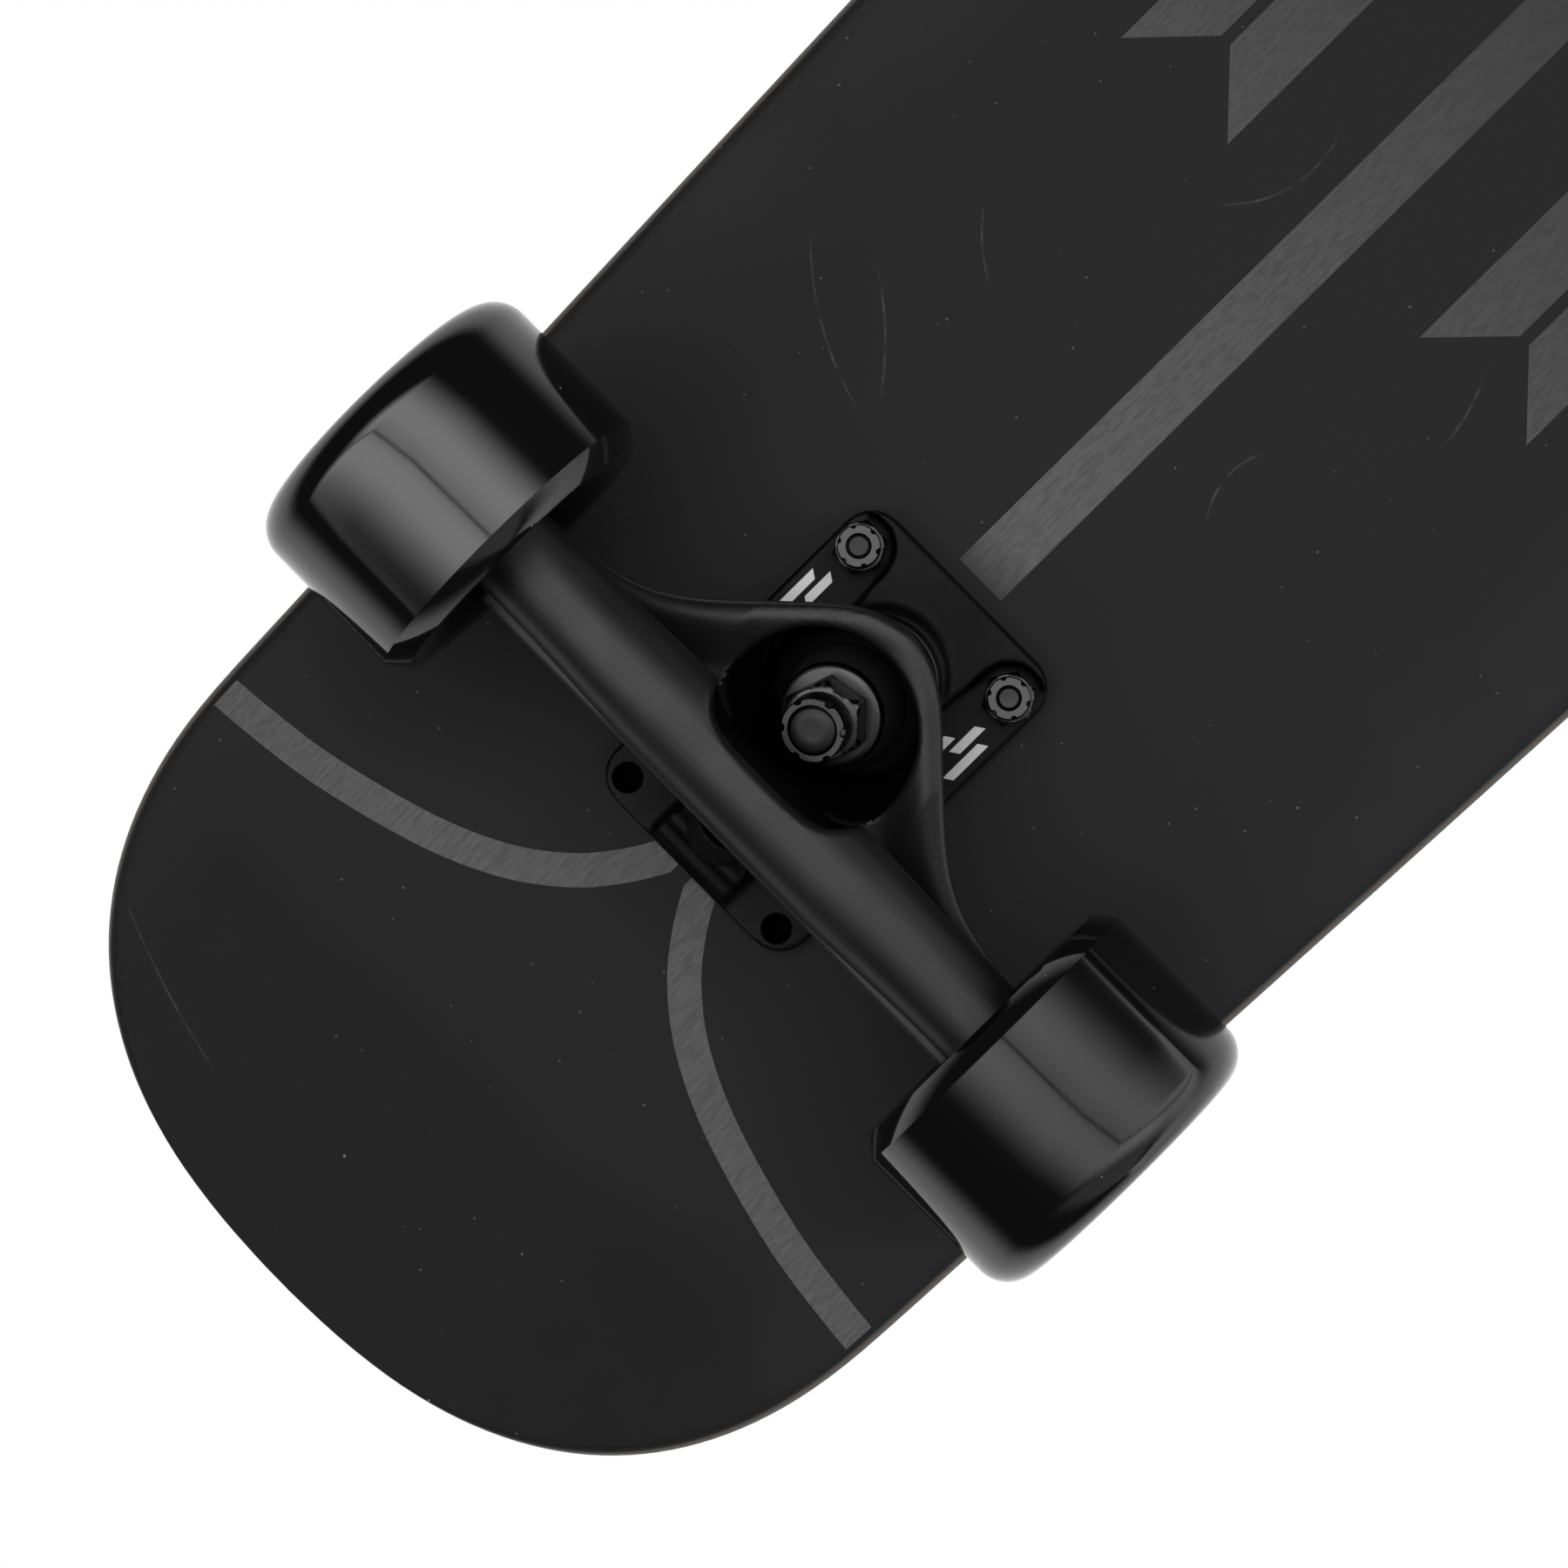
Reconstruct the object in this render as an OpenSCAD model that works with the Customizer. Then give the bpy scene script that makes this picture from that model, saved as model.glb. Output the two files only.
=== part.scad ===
// Skateboard: a kicked, concave seven-ply deck on two kingpin trucks with four wheels.
// X runs along the board (+X is the front), Y across it, Z up. The origin is on the
// ground under the middle of the board, and all lengths are millimetres.

/* [Deck] */
// Overall length of the deck
deck_length = 726; // [700:1:760]
// Width of the deck half way along
deck_width = 205; // [196:1:212]
// Thickness of the laminated deck
deck_thick = 10.5; // [9:0.5:12]
// How far the side edges rise above the flat middle
concave_rise = 7; // [4:0.5:9]
// Half width of the flat strip along the middle
flat_half = 26; // [26:1:32]
// Length of the rounded part of each end
end_round = 81; // [70:1:90]
// Squareness of the rounded ends, 2 is an ellipse
end_power = 2.55; // [2:0.05:3]
// Angle of the kicked ends
kick_angle = 17; // [10:1:22]
// Bend radius between the flat middle and a kick
kick_radius = 110; // [80:5:140]
// Thickness of the grip tape
grip_thick = 0.8; // [0.6:0.1:1.2]

/* [Trucks] */
// Distance between the centres of the two bolt patterns
truck_gap = 410; // [400:1:420]
// Length of the bolt pattern
bolt_long = 53.975; // [53.9:0.025:54]
// Width of the bolt pattern
bolt_wide = 41.275; // [41.2:0.025:41.35]
// Length between the inner bolts and the spare outer holes
bolt_old_long = 63.5; // [63.4:0.05:63.6]
// Diameter of the truck bolts
bolt_d = 4.83; // [4.7:0.01:4.9]
// Diameter of the clearance holes for the bolts
bolt_hole_d = 5.5; // [5.3:0.1:5.7]
// Height of the axle below the underside of the deck
axle_drop = 53; // [53:0.5:55]
// Distance of the axle outwards from the middle of the bolt pattern
axle_set = 19.5; // [19.5:0.1:20.5]
// Lean of the kingpin from upright
kingpin_lean = 20; // [19:0.5:21]
// Diameter of the kingpin
kingpin_d = 9.5; // [9.4:0.1:9.6]
// Width of the hanger between the wheels
hanger_width = 133.4; // [133:0.1:134]
// Length of the axle
axle_length = 203; // [203:0.5:205]
// Diameter of the axle
axle_d = 7.94; // [7.9:0.01:7.96]

/* [Wheels] */
// Diameter of the wheels
wheel_d = 64.4; // [60:0.1:65]
// Distance from the middle plane of the truck to the inner face of a wheel
wheel_in = 60.8; // [60.6:0.1:61.4]
// Distance from the middle plane of the truck to the outer face of a wheel
wheel_out = 100.4; // [99.8:0.1:101]
// Radius of the rounded outer lip
lip_radius = 7; // [5:0.5:9]
// Height of the bevel on the inner edge
inner_bevel = 3; // [2:0.5:4]

/* [Bearings] */
// Outer diameter of a bearing
bearing_od = 22; // [21.9:0.1:22.1]
// Width of a bearing
bearing_w = 7; // [6.9:0.1:7.1]
// Diameter of the circle through the ball centres
ball_circle = 15; // [14.9:0.1:15.1]
// Diameter of a ball
ball_d = 3.97; // [3.9:0.01:3.98]
// Number of balls in a bearing
ball_count = 7; // [6:1:8]
// Length of the spacer between the two bearings of a wheel
spacer_len = 10; // [9.8:0.1:10.2]

/* [Hidden] */

$fn = 64;
eps = 0.01;            // lets a cutter pass just through a face
rear = -1;
front = 1;
left = 1;
right = -1;

// Heights above the ground
axle_z = wheel_d / 2;
under_z = axle_z + axle_drop;

// Deck outline and surface
taper_slope = 0.047;   // side slope towards the ends
taper_blend = 60;      // length over which the sides start to taper
kick_start = 277 / 363 * deck_length / 2;
edge_round = 3.4;
grip_inset = 0.8;      // the grip tape is trimmed just inside the deck edge
glue_line = 0.05;      // between the deck and the grip tape
end_angle_max = 88.4;
end_steps = 13;
mid_steps = 20;
wide_steps = 14;
edge_steps = 4;
sink_r = 4.9;          // countersink for a bolt head
sink_deep = 3.6;
sink_past = 0.3;       // the cone ends inside the bolt hole
grip_hole_r = sink_r + 0.05;

function half_taper(s) = deck_width / 2
    - taper_slope * (sqrt(s * s + taper_blend * taper_blend) - taper_blend);
function kick_z(s) = s < kick_start ? 0
    : s < kick_start + kick_radius * sin(kick_angle)
        ? kick_radius - sqrt(kick_radius * kick_radius - (s - kick_start) * (s - kick_start))
        : kick_radius * (1 - cos(kick_angle))
            + (s - kick_start - kick_radius * sin(kick_angle)) * tan(kick_angle);
function concave_z(y) = concave_rise
    * pow(max(0, abs(y) - flat_half) / (deck_width / 2 - flat_half), 2);
function under_surface(x, y) = under_z + kick_z(abs(x)) + concave_z(y);

// Stations along the deck: [x, half width]
function end_station(a, inset) = let (
        x = deck_length / 2 - end_round + (end_round - inset) * pow(sin(a), 2 / end_power))
    [x, (half_taper(x) - inset) * pow(cos(a), 2 / end_power)];
function stations(inset) = let (
        flat = deck_length / 2 - end_round,
        tip = [for (i = [0 : end_steps]) end_station(end_angle_max * i / end_steps, inset)],
        middle = [for (i = [1 : mid_steps - 1]) let (x = flat * (2 * i / mid_steps - 1))
            [x, half_taper(abs(x)) - inset]])
    concat(
        [for (i = [end_steps : -1 : 0]) [-tip[i][0], tip[i][1]]],
        middle,
        tip);

// One closed section of a sheet that follows the deck, from bottom to top height above the underside
function section(x, half, low, high, soft) = let (
        r = min(soft, half / 3),
        inner = half - r,
        slant = 1 / cos(abs(x) < kick_start ? 0
            : min(kick_angle, asin(min(1, (abs(x) - kick_start) / kick_radius)))))
    concat(
        [for (j = [0 : wide_steps]) let (y = inner * (2 * j / wide_steps - 1))
            [x, y, under_surface(x, y) + low * slant]],
        [for (j = [1 : edge_steps - 1]) let (a = 180 * j / edge_steps)
            [x, inner + r * sin(a),
                under_surface(x, inner) + slant * (low + (high - low) * (1 - cos(a)) / 2)]],
        [for (j = [wide_steps : -1 : 0]) let (y = inner * (2 * j / wide_steps - 1))
            [x, y, under_surface(x, y) + high * slant]],
        [for (j = [edge_steps - 1 : -1 : 1]) let (a = 180 * j / edge_steps)
            [x, -inner - r * sin(a),
                under_surface(x, inner) + slant * (low + (high - low) * (1 - cos(a)) / 2)]]);

// Truck frame: x towards the middle of the board, z down from the underside of the deck
pivot_reach = 37;          // from the middle of the bushings to the pivot point
seat_x = 11.97;            // where the kingpin axis crosses its seat on the baseplate
seat_z = 10;
washer_thick = 1.6;
board_bushing = 14;
road_bushing = 11;
hanger_web = 6;
kingpin_nut_h = 11.2;
bushing_r = 12;
board_seat = washer_thick + board_bushing;
road_seat = board_seat + hanger_web;
road_washer_at = road_seat + road_bushing;
nut_at = road_washer_at + washer_thick;
kingpin_top = nut_at + kingpin_nut_h + 0.2;
web_mid = board_seat + hanger_web / 2;
steer_x = seat_x - web_mid * sin(kingpin_lean);
steer_z = seat_z + web_mid * cos(kingpin_lean);
pivot_x = steer_x - pivot_reach * cos(kingpin_lean);
pivot_z = steer_z - pivot_reach * sin(kingpin_lean);
nose_lean = 35;            // lean of the pivot nose and its cup from upright
pivot_r = 5.5;
pivot_gap = 0.08;
cup_wall = 2.1;
cup_bore_r = pivot_r + pivot_gap;
cup_r = cup_bore_r + cup_wall;
cup_top = 4;
cup_mouth = 1;
plate_thick = 5;
plate_in = 35.9;           // end of the baseplate towards the middle of the board
plate_out = 41.3;          // end of the baseplate towards the tip of the board
plate_half = 26.3;
plate_round = 7;
nut_flats = 9.5;
nut_h = 8;
bolt_end = 13.2;
bolt_head_r = 4.6;
bolt_head_h = 2.8;
socket_flats = 3.6;
socket_deep = 1.8;
end_wall_from = 18;        // the raised wall round the inner nuts starts here
end_wall_h = 9;
pocket_r = 7;              // pocket round an inner nut, and the open channel beside it
pocket_from = 10;
spine_half = 10.2;         // spine from the pivot to the kingpin seat
spine_long = 24;
bridge_half = 8;
bridge_h = 8;
bridge_reach = 20;
block_from = 14;           // block behind the kingpin
block_half = 11.7;
block_h = 12;
seat_r = 13.4;
washer_room = 0.4;         // clearance round the boardside washer
rib_x = -36;               // rib across the pivot boss
rib_half = 9.4;
rib_h = 13;
boss_wall = 2.4;
boss_top = 2.5;
pin_head_r = 7.5;
pin_head_h = 3.8;
pin_head_top = -2;         // the head lies this far below the seat, in its pocket
pin_pocket_r = 7.6;
pin_bevel = 1;
washer_rim = bushing_r + 0.8;
washer_lip = 1.6;
road_washer_r = bushing_r - 1.8;
road_lip = 0.8;
road_top_r = 9.3;          // the roadside bushing narrows to sit inside its washer
road_top_h = 1.2;
nut_collar = 0.9;          // width of the round collar of a lock nut, as a share of its flats
nut_hex_share = 0.55;
pin_nut_flats = 14.3;
axle_nut_flats = 12.7;
axle_nut_h = 6.8;
bar_r = 10;                // hanger: axle bar, thicker in the middle
bar_taper = 0.6;
bar_end_taper = 0.9;
yoke_long = 78;
ring_r = 19.3;
ring_h = 7;
web_low_r = 15.5;
web_high_r = 18;
arm_root_r = 11;
arm_tip_r = 6.5;
arm_bar_r = 5;
nose_neck_r = 4.7;
nose_root_r = 6.2;
nose_long = 10;
flange_half = 57;
flange_h = 2.4;
flange_deep = 3;
bowl_low_r = 13.2;
bowl_high_r = 16.4;
bowl_x = -0.4;
pin_room = 3.4;            // the hanger clears the kingpin by half of this
bushing_room = 0.2;

// Wheel frame: z outwards along the axle from the middle plane of the truck
hub_in = hanger_width / 2 + 1;
hub_mid_in = hub_in + bearing_w;
hub_mid_out = hub_mid_in + spacer_len;
hub_out = hub_mid_out + bearing_w;
bore_r = axle_d / 2 + 0.03;
race_in_r = 6.05;
race_out_r = 9.3;
shield_from = 0.4;
shield_thick = 0.4;
shield_gap = 0.3;
cage_out_r = 8.2;
cage_in_r = 6.8;
ball_room = 0.1;
ring_out_r = 5.7;
ring_thick = 1;
spacer_r = 5.2;
bore_step_r = 8.6;
bevel_land = 0.8;
hub_face = 1.2;
groove_r = ball_d / 2 + 0.045;
cage_low = 0.5;            // the crown cage reaches this far to each side of the ball centres
cage_high = 2.35;

module at_truck(end) {
    translate([end * truck_gap / 2, 0, under_z])
        rotate([0, 0, end > 0 ? 180 : 0])
            rotate([180, 0, 0]) children();
}

module at_wheel(end, side) {
    translate([end * (truck_gap / 2 + axle_set), 0, axle_z])
        rotate([-90 * side, 0, 0]) children();
}

// Frame of a kingpin: z up the pin from its seat on the baseplate
module at_kingpin() {
    translate([seat_x, 0, seat_z]) rotate([0, -kingpin_lean, 0]) children();
}

module at_pivot() {
    translate([pivot_x, 0, pivot_z]) rotate([0, nose_lean, 0]) children();
}

module at_bolts() {
    for (x = [-1, 1], y = [-1, 1])
        translate([x * bolt_long / 2, y * bolt_wide / 2, 0]) children();
}

module tube(outer, inner, length) {
    difference() {
        cylinder(r = outer, h = length);
        translate([0, 0, -eps]) cylinder(r = inner, h = length + 2 * eps);
    }
}

module rounded_slab(x0, x1, half, radius, height) {
    translate([x0 + radius, -half, 0]) cube([x1 - x0 - 2 * radius, 2 * half, height]);
    translate([x0, radius - half, 0]) cube([x1 - x0, 2 * (half - radius), height]);
    for (x = [x0 + radius, x1 - radius], y = [radius - half, half - radius])
        translate([x, y, 0]) cylinder(r = radius, h = height);
}

// A lock nut: six-sided base and a round crimped collar
module lock_nut(flats, height, bore) {
    difference() {
        union() {
            cylinder(d = flats / cos(30), h = height * nut_hex_share, $fn = 6);
            cylinder(d = flats * nut_collar, h = height);
        }
        translate([0, 0, -eps]) cylinder(d = bore, h = height + 2 * eps);
    }
}

// A sheet that follows the deck between two heights above its underside
module deck_sheet(inset, low, high, soft) {
    rings = [for (s = stations(inset)) section(s[0], s[1], low, high, soft)];
    count = len(rings);
    around = len(rings[0]);
    tips = [for (end = [0, count - 1]) let (x = rings[end][0][0])
        [x, 0, under_surface(x, 0) + (low + high) / 2]];
    points = concat([for (ring = rings, p = ring) p], tips);
    walls = [for (i = [0 : count - 2], j = [0 : around - 1]) let (k = (j + 1) % around)
        each [[i * around + j, i * around + k, (i + 1) * around + k],
            [i * around + j, (i + 1) * around + k, (i + 1) * around + j]]];
    caps = [for (j = [0 : around - 1]) let (k = (j + 1) % around, last = (count - 1) * around)
        each [[k, j, count * around], [last + j, last + k, count * around + 1]]];
    polyhedron(points = points, faces = concat(walls, caps), convexity = 4);
}

module deck() {
    color([0.10, 0.10, 0.10]) difference() {
        deck_sheet(0, 0, deck_thick, edge_round);
        for (end = [rear, front]) at_truck(end) at_bolts() {
            translate([0, 0, -deck_thick - 1]) cylinder(d = bolt_hole_d, h = deck_thick + 2);
            translate([0, 0, -deck_thick - grip_thick])
                cylinder(r1 = sink_r, r2 = bolt_hole_d / 2 - sink_past, h = sink_deep);
        }
    }
}

module grip_tape() {
    color([0.05, 0.05, 0.05]) difference() {
        deck_sheet(grip_inset, deck_thick + glue_line, deck_thick + grip_thick,
            (grip_thick - glue_line) / 2);
        for (end = [rear, front]) at_truck(end) at_bolts()
            translate([0, 0, -deck_thick - 2 * grip_thick])
                cylinder(r = grip_hole_r, h = 3 * grip_thick);
    }
}

module baseplate_body() {
    rounded_slab(-plate_out, plate_in, plate_half, plate_round, plate_thick);
    // Raised end wall round the inner bolts
    intersection() {
        rounded_slab(-plate_out, plate_in, plate_half, plate_round, end_wall_h);
        translate([end_wall_from, -plate_half, 0])
            cube([plate_in - end_wall_from + 1, 2 * plate_half, end_wall_h]);
    }
    // Spine from the pivot to the kingpin seat
    translate([0.4 - plate_out, -spine_half, 0]) cube([spine_long, 2 * spine_half, end_wall_h]);
    translate([-bridge_reach, -bridge_half, 0])
        cube([2 * bridge_reach, 2 * bridge_half, bridge_h]);
    translate([block_from, -block_half, 0])
        cube([plate_in - block_from - 0.5, 2 * block_half, block_h]);
    intersection() {
        at_kingpin() translate([0, 0, -20]) cylinder(r = seat_r, h = 20);
        translate([-20, -20, 0]) cube([60, 40, 30]);
    }
    // Boss round the pivot cup, with its outer wall
    intersection() {
        at_pivot() cup_outside(cup_r + boss_wall, boss_top);
        translate([-60, -20, 0]) cube([60, 40, rib_h - 0.5]);
    }
    translate([rib_x, -rib_half, 0]) cube([3, 2 * rib_half, rib_h]);
}

module baseplate() {
    color([0.07, 0.07, 0.07]) difference() {
        baseplate_body();
        // Bolt holes, the spare outer pair and the pockets round the inner nuts
        at_bolts() translate([0, 0, -1]) cylinder(d = bolt_hole_d, h = 20);
        for (y = [-1, 1]) {
            translate([bolt_long / 2 - bolt_old_long, y * bolt_wide / 2, -1])
                cylinder(d = bolt_hole_d, h = 20);
            translate([bolt_long / 2, y * bolt_wide / 2, plate_thick])
                cylinder(r = pocket_r, h = 10);
            translate([pocket_from, y * bolt_wide / 2 - pocket_r, plate_thick])
                cube([bolt_long / 2 - pocket_from, 2 * pocket_r, 10]);
        }
        // Kingpin bore, the pocket for its head and room for the boardside washer
        at_kingpin() translate([0, 0, -12]) cylinder(d = kingpin_d, h = 30);
        at_kingpin() translate([0, 0, pin_head_top - 20]) cylinder(r = pin_pocket_r, h = 20);
        at_kingpin() cylinder(r = washer_rim + washer_room, h = 20);
        // Seat for the pivot cup
        at_pivot() cup_outside(cup_r, 22);
    }
}

module kingpin() {
    color([0.16, 0.16, 0.16]) at_kingpin() {
        translate([0, 0, pin_head_top - pin_head_h]) cylinder(r = pin_head_r, h = pin_head_h);
        translate([0, 0, pin_head_top])
            cylinder(d = kingpin_d, h = kingpin_top - pin_bevel - pin_head_top);
        translate([0, 0, kingpin_top - pin_bevel])
            cylinder(d1 = kingpin_d, d2 = kingpin_d - 1.6 * pin_bevel, h = pin_bevel);
    }
}

// Outside of the pivot cup: rounded below, straight above
module cup_outside(outer, top) {
    rotate_extrude() polygon([
        [0, -outer], [outer * 0.5, -outer * 0.87], [outer * 0.87, -outer * 0.5],
        [outer, 0], [outer, top], [0, top]]);
}

module pivot_cup() {
    color([0.04, 0.04, 0.04]) at_pivot() difference() {
        cup_outside(cup_r, cup_top);
        sphere(r = cup_bore_r);
        cylinder(r = cup_bore_r, h = cup_mouth + 1);
        translate([0, 0, cup_mouth])
            cylinder(r1 = cup_bore_r, r2 = cup_r - 0.8, h = cup_top - cup_mouth + eps);
    }
}

module boardside_bushing() {
    color([0.05, 0.05, 0.05]) at_kingpin() translate([0, 0, washer_thick])
        rotate_extrude() polygon([
            [kingpin_d / 2, 0], [bushing_r - 1.2, 0], [bushing_r, board_bushing * 0.4],
            [bushing_r, board_bushing * 0.6], [bushing_r - 1, board_bushing],
            [kingpin_d / 2, board_bushing]]);
}

module roadside_bushing() {
    color([0.05, 0.05, 0.05]) at_kingpin() translate([0, 0, road_seat])
        rotate_extrude() polygon([
            [kingpin_d / 2, 0], [bushing_r - 0.6, 0], [bushing_r - 0.3, road_bushing * 0.35],
            [road_top_r, road_bushing - road_top_h], [road_top_r, road_bushing],
            [kingpin_d / 2, road_bushing]]);
}

module boardside_washer() {
    color([0.12, 0.12, 0.12]) at_kingpin()
        rotate_extrude() polygon([
            [kingpin_d / 2, 0], [washer_rim, 0], [washer_rim, washer_thick + washer_lip],
            [bushing_r, washer_thick + washer_lip], [bushing_r, washer_thick],
            [kingpin_d / 2, washer_thick]]);
}

module roadside_washer() {
    lip = road_washer_r - road_lip;
    color([0.30, 0.30, 0.30]) at_kingpin() translate([0, 0, road_washer_at])
        rotate_extrude() polygon([
            [kingpin_d / 2, 0], [lip, 0], [lip, -1], [road_washer_r, -1],
            [road_washer_r, washer_thick - 0.4], [road_washer_r - 0.6, washer_thick],
            [kingpin_d / 2, washer_thick]]);
}

module kingpin_nut() {
    color([0.28, 0.28, 0.28]) at_kingpin() translate([0, 0, nut_at])
        lock_nut(pin_nut_flats, kingpin_nut_h, kingpin_d);
}

module mounting_bolts() {
    head = deck_thick + grip_thick;
    color([0.20, 0.20, 0.20]) at_bolts() difference() {
        union() {
            translate([0, 0, -head])
                cylinder(r1 = bolt_head_r, r2 = bolt_d / 2, h = bolt_head_h);
            translate([0, 0, bolt_head_h - 0.1 - head])
                cylinder(d = bolt_d, h = head + 0.1 - bolt_head_h + bolt_end);
        }
        translate([0, 0, -head - eps]) cylinder(d = socket_flats, h = socket_deep, $fn = 6);
    }
}

module mounting_nuts() {
    color([0.30, 0.30, 0.30]) at_bolts() translate([0, 0, plate_thick])
        lock_nut(nut_flats, nut_h, bolt_d);
}

module hanger_body() {
    // Axle bar: thicker towards the middle
    both_sides() cylinder(r1 = bar_r + bar_taper, r2 = bar_r - bar_end_taper,
        h = hanger_width / 2);
    // Yoke from the bar to the ring
    hull() {
        translate([-axle_set, 0, axle_drop]) rotate([90, 0, 0])
            cylinder(r = bar_r, h = yoke_long, center = true, $fn = 32);
        at_kingpin() translate([0, 0, road_seat - 1])
            cylinder(r = ring_r, h = ring_h, $fn = 48);
    }
    at_kingpin() translate([0, 0, board_seat])
        cylinder(r1 = web_low_r, r2 = web_high_r, h = hanger_web);
    // Arm to the pivot nose
    hull() {
        at_kingpin() translate([-4, 0, board_seat]) cylinder(r = arm_root_r, h = 4, $fn = 32);
        at_pivot() translate([0, 0, nose_long - 1]) cylinder(r = arm_tip_r, h = 3, $fn = 32);
        translate([-axle_set, 0, axle_drop - 4]) rotate([90, 0, 0])
            cylinder(r = arm_bar_r, h = 14, center = true, $fn = 32);
    }
    at_pivot() sphere(r = pivot_r);
    at_pivot() cylinder(r1 = nose_neck_r, r2 = nose_root_r, h = nose_long);
    // Flange along the outer side of the bar
    translate([-axle_set - bar_r - 0.4, -flange_half, axle_drop - 5])
        cube([flange_deep, 2 * flange_half, flange_h]);
}

module hanger() {
    color([0.08, 0.08, 0.08]) difference() {
        hanger_body();
        // Bowl round the roadside bushing and the nut
        hull() {
            at_kingpin() translate([0, 0, road_seat]) cylinder(r = bowl_low_r, h = eps, $fn = 48);
            translate([bowl_x, 0, axle_drop + bar_r]) cylinder(r = bowl_high_r, h = 1, $fn = 48);
        }
        at_kingpin() cylinder(d = kingpin_d + pin_room, h = 60);
        at_kingpin() translate([0, 0, -1])
            cylinder(r = bushing_r + bushing_room, h = board_seat + 1);
        translate([-axle_set, 0, axle_drop]) rotate([90, 0, 0])
            cylinder(d = axle_d, h = hanger_width + 2, center = true);
    }
}

module axle() {
    color([0.45, 0.45, 0.46]) translate([-axle_set, 0, axle_drop]) rotate([90, 0, 0]) {
        cylinder(d = axle_d, h = axle_length - 2, center = true);
        for (side = [-1, 1]) rotate([side > 0 ? 0 : 180, 0, 0])
            translate([0, 0, axle_length / 2 - 1]) cylinder(d1 = axle_d, d2 = axle_d - 1.4, h = 1);
    }
}

// Wheel-frame places on both sides of a truck, for the pieces clamped on the axle
module both_sides() {
    for (side = [-1, 1]) translate([-axle_set, 0, axle_drop]) rotate([-90 * side, 0, 0])
        children();
}

module speed_rings() {
    color([0.55, 0.55, 0.56]) both_sides() for (at = [hub_in - ring_thick, hub_out])
        translate([0, 0, at]) tube(ring_out_r, bore_r, ring_thick);
}

module inner_races() {
    color([0.60, 0.60, 0.61]) both_sides() at_bearings() difference() {
        tube(race_in_r, bore_r, bearing_w);
        ball_groove();
    }
}

module bearing_spacers() {
    color([0.60, 0.60, 0.61]) both_sides() translate([0, 0, hub_mid_in])
        tube(spacer_r, bore_r, spacer_len);
}

module wheel() {
    tread = wheel_d / 2;
    lip = [for (a = [0 : 10 : 90])
        [tread - lip_radius * (1 - cos(a)), wheel_out - lip_radius * (1 - sin(a))]];
    color([0.04, 0.04, 0.04]) rotate_extrude() polygon(concat(
        [[tread, wheel_in + inner_bevel + bevel_land]],
        lip,
        [[19, wheel_out - 0.8], [13, hub_out + 1.6], [bearing_od / 2, hub_out + hub_face],
            [bearing_od / 2, hub_mid_out], [bore_step_r, hub_mid_out], [bore_step_r, hub_mid_in],
            [bearing_od / 2, hub_mid_in], [bearing_od / 2, hub_in - hub_face / 2],
            [13, hub_in - 1], [23, wheel_in + 1], [tread - inner_bevel, wheel_in]]));
}

module at_bearings() {
    for (at = [hub_in, hub_mid_out]) translate([0, 0, at]) children();
}

// Groove that the balls run in, centred in a bearing
module ball_groove() {
    translate([0, 0, bearing_w / 2]) rotate_extrude()
        translate([ball_circle / 2, 0]) circle(r = groove_r);
}

module at_balls() {
    for (i = [0 : ball_count - 1]) rotate([0, 0, 360 * i / ball_count])
        translate([ball_circle / 2, 0, 0]) children();
}

module outer_races() {
    color([0.60, 0.60, 0.61]) at_bearings() difference() {
        tube(bearing_od / 2, race_out_r, bearing_w);
        ball_groove();
    }
}

module shields() {
    far = bearing_w - shield_from - shield_thick;
    color([0.10, 0.10, 0.10]) at_bearings() for (at = [shield_from, far])
        translate([0, 0, at]) tube(race_out_r, race_in_r + shield_gap, shield_thick);
}

module balls() {
    color([0.80, 0.80, 0.82]) at_bearings() translate([0, 0, bearing_w / 2])
        at_balls() sphere(d = ball_d);
}

module retainers() {
    color([0.70, 0.66, 0.45]) at_bearings() translate([0, 0, bearing_w / 2]) difference() {
        translate([0, 0, -cage_low]) tube(cage_out_r, cage_in_r, cage_low + cage_high);
        at_balls() sphere(d = ball_d + ball_room);
    }
}

module axle_nut() {
    color([0.30, 0.30, 0.30]) translate([0, 0, hub_out + ring_thick])
        lock_nut(axle_nut_flats, axle_nut_h, axle_d);
}

deck();
grip_tape();
at_truck(rear) baseplate();  // rear_baseplate
at_truck(front) baseplate();  // front_baseplate
at_truck(rear) kingpin();  // rear_kingpin
at_truck(front) kingpin();  // front_kingpin
at_truck(rear) pivot_cup();  // rear_pivot_cup
at_truck(front) pivot_cup();  // front_pivot_cup
at_truck(rear) boardside_bushing();  // rear_boardside_bushing
at_truck(front) boardside_bushing();  // front_boardside_bushing
at_truck(rear) roadside_bushing();  // rear_roadside_bushing
at_truck(front) roadside_bushing();  // front_roadside_bushing
at_truck(rear) boardside_washer();  // rear_boardside_washer
at_truck(front) boardside_washer();  // front_boardside_washer
at_truck(rear) roadside_washer();  // rear_roadside_washer
at_truck(front) roadside_washer();  // front_roadside_washer
at_truck(rear) kingpin_nut();  // rear_kingpin_nut
at_truck(front) kingpin_nut();  // front_kingpin_nut
at_truck(rear) mounting_bolts();  // rear_mounting_bolts
at_truck(front) mounting_bolts();  // front_mounting_bolts
at_truck(rear) mounting_nuts();  // rear_mounting_nuts
at_truck(front) mounting_nuts();  // front_mounting_nuts
at_truck(rear) hanger();  // rear_hanger
at_truck(front) hanger();  // front_hanger
at_truck(rear) axle();  // rear_axle
at_truck(front) axle();  // front_axle
at_truck(rear) speed_rings();  // rear_speed_rings
at_truck(front) speed_rings();  // front_speed_rings
at_truck(rear) inner_races();  // rear_inner_races
at_truck(front) inner_races();  // front_inner_races
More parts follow.
